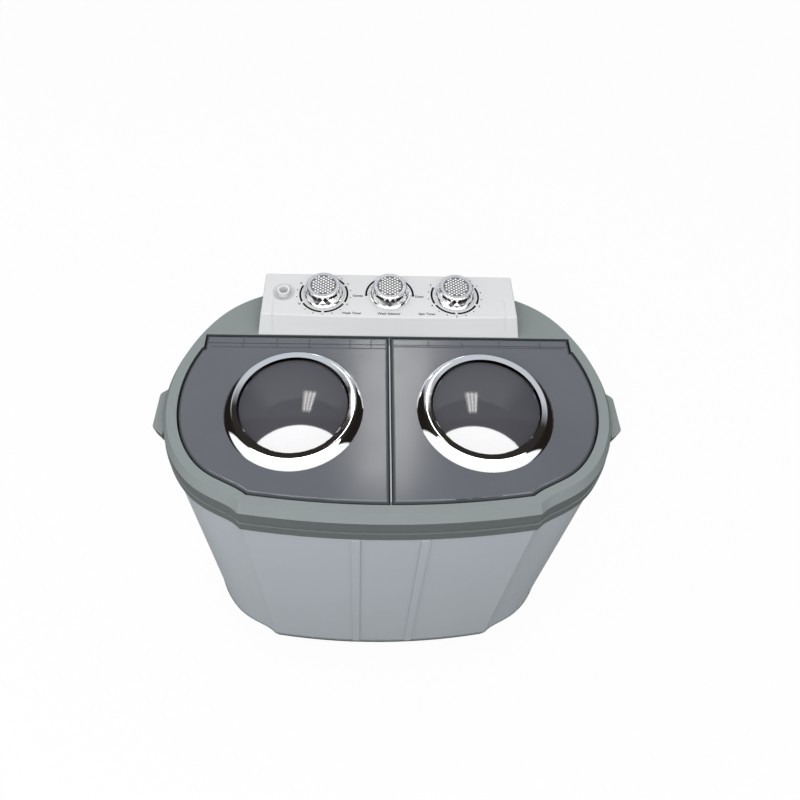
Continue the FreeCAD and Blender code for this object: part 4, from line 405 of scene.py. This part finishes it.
# Painted shade: the ground between the knurl's pyramids is dark grey.
GROOVE_SHADE = moulded("knurl_groove_shade", (0.17, 0.17, 0.17), 0.6, 200.0, 0.01, 0.05, **LOW_SHEEN)
RIDGE = moulded("seam_ridge", (0.50, 0.53, 0.54), 0.2, 200.0, 0.004, 0.02)
RIB = moulded("rib_mark", (0.085, 0.090, 0.102), 0.5, 200.0, 0.004, 0.05, **LOW_SHEEN)
round_ring(
    MATERIALS["ring_chrome"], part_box("spin_lid_ring"), ((75.5, 79.5, 24.0), (79.5, 86.5, 20.0)))
add_lacquer(MATERIALS["window_plastic"], start=0.07, end=0.10)
inlet = next(entry for entry in frame["record"]["mounts"] if entry["name"] == "water_inlet")
add_dish(MATERIALS["panel_plastic"], Vector(inlet["pos_m"]),
         inner=9.5 * MM, outer=15.0 * MM, depth=3.5 * MM)

for entry in frame["record"]["subparts"]:
    piece = nodes[entry["node"]]
    piece.data.materials.clear()
    piece.data.materials.append(MATERIALS[entry["material_slot"]])


# Mesh helpers

def make_object(name, mesh_maker, material, body):
    """A mesh object built by a function that fills a bmesh, riding on a body."""
    mesh = bpy.data.meshes.new(name)
    work = bmesh.new()
    mesh_maker(work)
    bmesh.ops.recalc_face_normals(work, faces=work.faces[:])
    work.to_mesh(mesh)
    work.free()
    mesh.materials.append(material)
    made = bpy.data.objects.new(name, mesh)
    bpy.context.scene.collection.objects.link(made)
    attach(made, body)
    return made


def prism(work, points, bottom, top):
    """A flat outline drawn up between two heights."""
    low = [work.verts.new((x, y, bottom)) for x, y in points]
    high = [work.verts.new((x, y, top)) for x, y in points]
    work.faces.new(low[::-1])
    work.faces.new(high)
    for index in range(len(points)):
        after = (index + 1) % len(points)
        work.faces.new((low[index], low[after], high[after], high[index]))


def circle_points(x, y, radius, sides, first=0.0):
    """The corners of an even polygon; first is the first corner's angle."""
    angles = [2 * math.pi * side / sides + first for side in range(sides)]
    return [(x + radius * math.cos(angle), y + radius * math.sin(angle)) for angle in angles]


# Print round the dials

PRINT_BOTTOM = PANEL_TOP - 0.05 * MM
PRINT_TOP = PANEL_TOP + 0.06 * MM
ARC_INNER = 31.3 * MM
ARC_OUTER = 34.1 * MM
ARC_STEP = 4
MARK_STEP = 60.0
MARK_COUNT = 5
MARK_GAP = 3
START_GAP = 12
MINUTE_RADIUS = 37.5 * MM
MINUTE_DOT = 0.9 * MM
DOT_SIDES = 12
NUMBER_RADIUS = 38.1 * MM
NUMBER_SIZE = 4.4 * MM
WORD_SIZE = 5.2 * MM
LETTER_THICKNESS = 0.04 * MM
LETTER_BOLDNESS = 0.12 * MM
LETTER_HEIGHT = PANEL_TOP + 0.03 * MM
SELECTOR_START = 39
SELECTOR_END = 89
SELECTOR_DOT_TURN = 92
SELECTOR_DOT = 2.0 * MM


def dial_point(centre_x, radius, degrees):
    """A point on a dial, with 0 at the far side and angles running clockwise."""
    angle = math.radians(degrees)
    return (centre_x + radius * math.sin(angle), DIAL_Y + radius * math.cos(angle))


def arc_strip(work, centre_x, inner, outer, start, end, bottom, top):
    count = max(2, int(abs(end - start) / ARC_STEP))
    turns = [start + (end - start) * step / count for step in range(count + 1)]
    points = [dial_point(centre_x, outer, turn) for turn in turns]
    points += [dial_point(centre_x, inner, turn) for turn in reversed(turns)]
    prism(work, points, bottom, top)


def dot(work, centre, radius):
    """A small printed dot."""
    prism(work, circle_points(*centre, radius, DOT_SIDES), PRINT_BOTTOM, PRINT_TOP)


def hidden_by_knob(degrees):
    """Whether a mark stands straight behind its knob."""
    angle = math.radians(degrees)
    return abs(math.sin(angle)) < 0.4 and math.cos(angle) > 0


def timer_marks(centre_x):
    """The broken ring round a timer's dial, with its dots."""
    def build(work):
        for step in range(MARK_COUNT):
            start = step * MARK_STEP + (START_GAP if step == 0 else MARK_GAP)
            end = (step + 1) * MARK_STEP - MARK_GAP
            arc_strip(work, centre_x, ARC_INNER, ARC_OUTER, start, end, PRINT_BOTTOM, PRINT_TOP)
        for step in range(MARK_COUNT):
            for part in (1, 2):
                turn = (step + part / 3) * MARK_STEP
                if not hidden_by_knob(turn):
                    dot(work, dial_point(centre_x, MINUTE_RADIUS, turn), MINUTE_DOT)
    return build


def selector_marks(work):
    """Two arcs that end in dots, to the left and to the right of the selector."""
    for hand in (-1, 1):
        arc_strip(work, 0, ARC_INNER, ARC_OUTER, hand * SELECTOR_START, hand * SELECTOR_END,
                  PRINT_BOTTOM, PRINT_TOP)
        end = dial_point(0, (ARC_INNER + ARC_OUTER) / 2, hand * SELECTOR_DOT_TURN)
        dot(work, end, SELECTOR_DOT)


def write(name, text, size, x, y):
    """A short word or number, printed flat on the panel."""
    curve = bpy.data.curves.new(name, "FONT")
    curve.body = text
    curve.size = size
    curve.align_x = "CENTER"
    curve.align_y = "CENTER"
    curve.extrude = LETTER_THICKNESS
    curve.offset = LETTER_BOLDNESS
    curve.materials.append(PRINT)
    made = bpy.data.objects.new(name, curve)
    made.location = (x, y, LETTER_HEIGHT)
    bpy.context.scene.collection.objects.link(made)
    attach(made, "cabinet")


for name, numbers in (("wash_timer", "3 6 9 12 15"), ("spin_timer", "1 2 3 4 5")):
    centre = KNOBS[f"{name}_knob"].x
    make_object(f"{name}_marks", timer_marks(centre), PRINT, "cabinet")
    for step, number in enumerate(numbers.split(), 1):
        x, y = dial_point(centre, NUMBER_RADIUS, step * MARK_STEP)
        write(f"{name}_number_{step}", number, NUMBER_SIZE, x, y)
make_object("selector_marks", selector_marks, PRINT, "cabinet")
for name, text, x, y in (
        ("wash_timer_word", "Wash Timer", -52.1, -34.6),
        ("selector_word", "Wash Selector", -1.1, -34.7),
        ("spin_timer_word", "Spin Timer", 51.0, -34.3),
        ("gentle_word", "Gentle", -44.3, -3.0),
        ("drain_word", "Drain", 41.6, -3.0)):
    write(name, text, WORD_SIZE, x * MM, DIAL_Y + y * MM)


# Knurled caps

CAP_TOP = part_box("selector_knob")[1].z
KNURL_COLUMN_PITCH = 3.4 * MM
KNURL_ROW_PITCH = 4.8 * MM
KNURL_RADIUS = 16.4 * MM
KNURL_HALF = 1.75 * MM
KNURL_CROWN_SHARE = 0.45
KNURL_HEIGHT = 0.45 * MM
KNURL_SIDES = 6
GROUND_RADIUS = 17.8 * MM
GROUND_SIDES = 48
CAP_SINK = 0.05 * MM
GROUND_RISE = 0.03 * MM


def knurl_spots(centre):
    """The places of the pyramids, in staggered columns inside the cap's circle."""
    columns = int(KNURL_RADIUS / KNURL_COLUMN_PITCH) + 1
    rows = int(KNURL_RADIUS / KNURL_ROW_PITCH) + 1
    for column in range(-columns, columns + 1):
        x = column * KNURL_COLUMN_PITCH
        shift = KNURL_ROW_PITCH / 2 if column % 2 else 0
        for row in range(-rows, rows + 1):
            y = row * KNURL_ROW_PITCH + shift
            if math.hypot(x, y) <= KNURL_RADIUS:
                yield centre.x + x, centre.y + y


def knurl(centre):
    """Small six-sided pyramids with cut tops."""
    def level(work, x, y, radius, height):
        corners = circle_points(x, y, radius, KNURL_SIDES, math.pi / 6)
        return [work.verts.new((*corner, height)) for corner in corners]

    def build(work):
        for x, y in knurl_spots(centre):
            rim = level(work, x, y, KNURL_HALF, CAP_TOP - CAP_SINK)
            crown = level(work, x, y, KNURL_HALF * KNURL_CROWN_SHARE, CAP_TOP + KNURL_HEIGHT)
            work.faces.new(crown)
            work.faces.new(rim[::-1])
            for side in range(KNURL_SIDES):
                after = (side + 1) % KNURL_SIDES
                work.faces.new((rim[side], rim[after], crown[after], crown[side]))
    return build


def knurl_ground(centre):
    """The ground between the pyramids, painted dark as shade."""
    def build(work):
        points = circle_points(centre.x, centre.y, GROUND_RADIUS, GROUND_SIDES)
        prism(work, points, CAP_TOP - CAP_SINK, CAP_TOP + GROUND_RISE)
    return build


for name, centre in KNOBS.items():
    make_object(f"{name}_knurl", knurl(centre), KNURL, name)
    make_object(f"{name}_ground", knurl_ground(centre), GROOVE_SHADE, name)


# The rounded ridge between the lids

RIDGE_HALF = 0.9 * MM
RIDGE_FRONT_INSET = 2 * MM
RIDGE_BACK_INSET = 14 * MM
RIDGE_DROP = 0.6 * MM
RIDGE_STEPS = 8


def seam_ridge(work):
    """A low half-round strip along the wall that parts the two recesses."""
    low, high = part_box("wash_lid")
    top = high.z - RIDGE_DROP
    ends = []
    for y in (low.y + RIDGE_FRONT_INSET, high.y - RIDGE_BACK_INSET):
        angles = [math.pi * step / RIDGE_STEPS for step in range(RIDGE_STEPS + 1)]
        ends.append([work.verts.new((RIDGE_HALF * math.cos(angle), y,
                                     top + RIDGE_HALF * math.sin(angle))) for angle in angles])
    near, far = ends
    for step in range(RIDGE_STEPS):
        work.faces.new((near[step], near[step + 1], far[step + 1], far[step]))
    work.faces.new(near)
    work.faces.new(far)
    work.faces.new((near[0], near[-1], far[-1], far[0]))


make_object("seam_ridge", seam_ridge, RIDGE, "cabinet")


# The ribs under the lids' rear strips, which show through the smoked plastic

RIB_HALF = 0.8 * MM
RIB_SINK = 0.1 * MM
RIB_RISE = 0.03 * MM
RIB_BACK_GAP = 4 * MM
RIB_OUTER_INSET = 27 * MM
RIB_SEAM_INSET = 2 * MM


def rib_marks(name, line_y, across):
    """A long rib's line and the short ones behind it."""
    low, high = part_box(name)
    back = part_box("control_panel")[0].y - RIB_BACK_GAP
    on_left = low.x < -high.x
    start = low.x + (RIB_OUTER_INSET if on_left else RIB_SEAM_INSET)
    end = high.x - (RIB_SEAM_INSET if on_left else RIB_OUTER_INSET)

    def bar(work, x0, x1, y0, y1):
        prism(work, ((x0, y0), (x1, y0), (x1, y1), (x0, y1)), high.z - RIB_SINK,
              high.z + RIB_RISE)

    def build(work):
        bar(work, start, end, line_y - RIB_HALF, line_y + RIB_HALF)
        for x in across:
            bar(work, x - RIB_HALF, x + RIB_HALF, line_y, back)
    return build


for name, line_y, across in (
        ("wash_lid", 65.0, (-196.7, -151.6, -108.6, -53.6, -25.1)),
        ("spin_lid", 68.5, (52.9, 99.2, 150.2, 206.7))):
    make_object(f"{name}_ribs", rib_marks(name, line_y * MM, [x * MM for x in across]), RIB,
                name)


# Camera, as solved from the photograph

CAMERA_PLACE = (-0.0314, -0.4978, 1.2695)
CAMERA_PITCH = 0.8531
CAMERA_ROLL = -0.0622
CAMERA_YAW = 0.0617
CAMERA_SHIFT = (0.00625, -0.125)
FOCAL_PIXELS = 689.89
PICTURE_PIXELS = 800
SENSOR_WIDTH = 36


def set_camera():
    level = math.cos(CAMERA_PITCH)
    ahead = Vector((math.sin(CAMERA_YAW) * level, math.cos(CAMERA_YAW) * level,
                    -math.sin(CAMERA_PITCH)))
    right = Vector((math.cos(CAMERA_YAW), -math.sin(CAMERA_YAW), 0))
    down = ahead.cross(right)
    across = right * math.cos(CAMERA_ROLL) + down * math.sin(CAMERA_ROLL)
    below = down * math.cos(CAMERA_ROLL) - right * math.sin(CAMERA_ROLL)
    data = bpy.data.cameras.new("camera")
    data.sensor_width = SENSOR_WIDTH
    data.lens = FOCAL_PIXELS / PICTURE_PIXELS * SENSOR_WIDTH
    data.shift_x, data.shift_y = CAMERA_SHIFT
    camera = bpy.data.objects.new("camera", data)
    turn = Matrix((across, -below, -ahead)).transposed().to_4x4()
    camera.matrix_world = Matrix.Translation(CAMERA_PLACE) @ turn
    bpy.context.scene.collection.objects.link(camera)
    bpy.context.scene.camera = camera


# Floor, world and lamps

FLOOR_RADIUS = 9
FLOOR_GLOW = 0.94
WHITE = (1.0, 1.0, 1.0)


def ray_is(tree, *kinds):
    """1 for the named kinds of ray, and 0 for the others."""
    path = node(tree, "ShaderNodeLightPath")
    total = path.outputs[kinds[0]]
    for kind in kinds[1:]:
        total = maths(tree, "MAXIMUM", total, path.outputs[kind])
    return total


def make_floor():
    """A floor that looks white and keeps its shadow, but throws little light back up."""
    mesh = bpy.data.meshes.new("floor")
    work = bmesh.new()
    bmesh.ops.create_circle(work, cap_ends=True, segments=96, radius=FLOOR_RADIUS)
    work.to_mesh(mesh)
    work.free()
    floor = bpy.data.objects.new("floor", mesh)
    bpy.context.scene.collection.objects.link(floor)
    made, tree, shader = new_material("floor", Roughness=0.9)
    dim = blend_colours(tree, remap(tree, noise(tree, 3.0), 0, 1), (0.15, 0.14, 0.13),
                        (0.18, 0.17, 0.16))
    pale = plain_colour(tree, (0.9, 0.9, 0.9))
    link(tree, mix_sockets(tree, ray_is(tree, "Is Camera Ray"), dim, pale),
         shader.inputs["Base Color"])
    glow = node(tree, "ShaderNodeEmission")
    glow.inputs["Color"].default_value = (*WHITE, 1)
    mix = node(tree, "ShaderNodeMixShader")
    seen = ray_is(tree, "Is Camera Ray", "Is Transmission Ray")
    link(tree, maths(tree, "MULTIPLY", seen, FLOOR_GLOW), mix.inputs[0])
    link(tree, shader.outputs[0], mix.inputs[1])
    link(tree, glow.outputs[0], mix.inputs[2])
    link(tree, mix.outputs[0], tree.nodes["Material Output"].inputs["Surface"])
    mesh.materials.append(made)


def window_share(tree, value, centre, half, soft):
    """1 within half of the centre, falling to 0 over the soft edge."""
    away = maths(tree, "ABSOLUTE", maths(tree, "SUBTRACT", value, centre))
    return remap(tree, away, 1, 0, half, half + soft)


# Each list gives heights, as shares of a quarter turn over the horizon, with their colours.
BEHIND = (
    (0.0, (0.05, 0.045, 0.04)), (0.05, (0.42, 0.46, 0.53)), (0.30, (0.56, 0.59, 0.65)),
    (0.605, (0.60, 0.62, 0.66)), (0.625, (0.03, 0.026, 0.022)), (0.80, (0.025, 0.022, 0.02)),
    (0.84, (0.16, 0.15, 0.14)))
SIDES = (
    (0.0, (0.016, 0.013, 0.011)), (0.35, (0.014, 0.011, 0.009)), (0.6, (0.018, 0.015, 0.013)),
    (0.75, (0.04, 0.037, 0.034)))
PLAIN = ((0.0, (0.20, 0.21, 0.23)), (0.3, (0.33, 0.35, 0.38)), (1.0, (0.98, 0.98, 0.98)))

# Angles in radians; a window's share is given by its centre, half width and soft edge.
BEHIND_WIDTH = (0.0, 0.50, 0.20)
FRONT_WIDTH = (-0.15, 1.50, 0.06)
FRONT_RISE = (0.26, 0.32)
FRONT_STRENGTH = 1.1
PATCH_WIDTH = (0.065, 0.075, 0.03)
PATCH_HEIGHT = (1.00, 0.10, 0.04)
PATCH_COLOUR = (1.0, 0.97, 0.94)
PATCH_STRENGTH = 10.5
PATCH_BARS = 110.0
CEILING_MIDDLE = (0, -0.3256, 0.9455)
CEILING_EDGE = (0.810, 0.818)
CEILING_STRENGTH = 5.0


def mirrored_room(tree, direction):
    """Dark rooms at the sides, a pale wall behind, a bright front and ceiling, and a window."""
    parts = axis_parts(tree, direction)
    elevation = maths(tree, "ARCSINE", parts["Z"])
    height = maths(tree, "DIVIDE", elevation, math.pi / 2)
    azimuth = maths(tree, "ARCTAN2", parts["X"], parts["Y"])
    from_front = maths(tree, "ARCTAN2", parts["X"], maths(tree, "MULTIPLY", parts["Y"], -1.0))

    facing_back = window_share(tree, azimuth, *BEHIND_WIDTH)
    room = mix_sockets(tree, facing_back, ramp(tree, height, SIDES), ramp(tree, height, BEHIND))

    front = maths(tree, "MULTIPLY", window_share(tree, from_front, *FRONT_WIDTH),
                  remap(tree, elevation, 0, 1, *FRONT_RISE))
    room = mix_sockets(tree, front, room, bright_colour(tree, WHITE, FRONT_STRENGTH))

    wave = maths(tree, "SINE", maths(tree, "MULTIPLY", azimuth, PATCH_BARS))
    bars = remap(tree, wave, 0.5, 1.0, -0.5, 0.5)
    patch = maths(tree, "MULTIPLY", window_share(tree, azimuth, *PATCH_WIDTH),
                  window_share(tree, elevation, *PATCH_HEIGHT))
    room = mix_sockets(tree, maths(tree, "MULTIPLY", patch, bars), room,
                       bright_colour(tree, PATCH_COLOUR, PATCH_STRENGTH))

    facing = node(tree, "ShaderNodeVectorMath", operation="DOT_PRODUCT")
    facing.inputs[1].default_value = CEILING_MIDDLE
    link(tree, direction, facing.inputs[0])
    ceiling = remap(tree, facing.outputs["Value"], 0, 1, *CEILING_EDGE)
    return mix_sockets(tree, ceiling, room, bright_colour(tree, WHITE, CEILING_STRENGTH))


def make_world():
    """White where it is seen, a room in the glossy surfaces, and plain grey light elsewhere."""
    world = bpy.data.worlds.new("world")
    world.use_nodes = True
    bpy.context.scene.world = world
    tree = world.node_tree
    tree.nodes.clear()
    direction = node(tree, "ShaderNodeTexCoord").outputs["Generated"]
    rise = axis_parts(tree, direction)["Z"]
    plain = ramp(tree, remap(tree, rise, 0, 1, -0.1, 1.0), PLAIN)
    path = node(tree, "ShaderNodeLightPath")
    undiffused = maths(tree, "LESS_THAN", path.outputs["Diffuse Depth"], 0.5)
    direct = maths(tree, "MULTIPLY", path.outputs["Is Glossy Ray"], undiffused)
    lit = mix_sockets(tree, direct, plain, mirrored_room(tree, direction))
    seen = mix_sockets(tree, path.outputs["Is Camera Ray"], lit, plain_colour(tree, WHITE))
    back = node(tree, "ShaderNodeBackground")
    link(tree, seen, back.inputs["Color"])
    out = node(tree, "ShaderNodeOutputWorld")
    link(tree, back.outputs[0], out.inputs["Surface"])


def add_lamp(name, place, aim, size, power):
    data = bpy.data.lights.new(name, "AREA")
    data.shape = "DISK"
    data.size = size
    data.energy = power
    lamp = bpy.data.objects.new(name, data)
    lamp.location = place
    lamp.rotation_mode = "QUATERNION"
    lamp.rotation_quaternion = (Vector(aim) - Vector(place)).to_track_quat("-Z", "Y")
    lamp.visible_glossy = False
    lamp.visible_camera = False
    bpy.context.scene.collection.objects.link(lamp)


set_camera()
make_floor()
make_world()
add_lamp("key", place=(-0.2, -1.4, 2.2), aim=(0, 0, 0.5), size=1.8, power=22)
add_lamp("fill", place=(-2.0, -0.8, 1.2), aim=(0, 0, 0.3), size=1.4, power=6)
bpy.context.scene.view_settings.view_transform = "Standard"
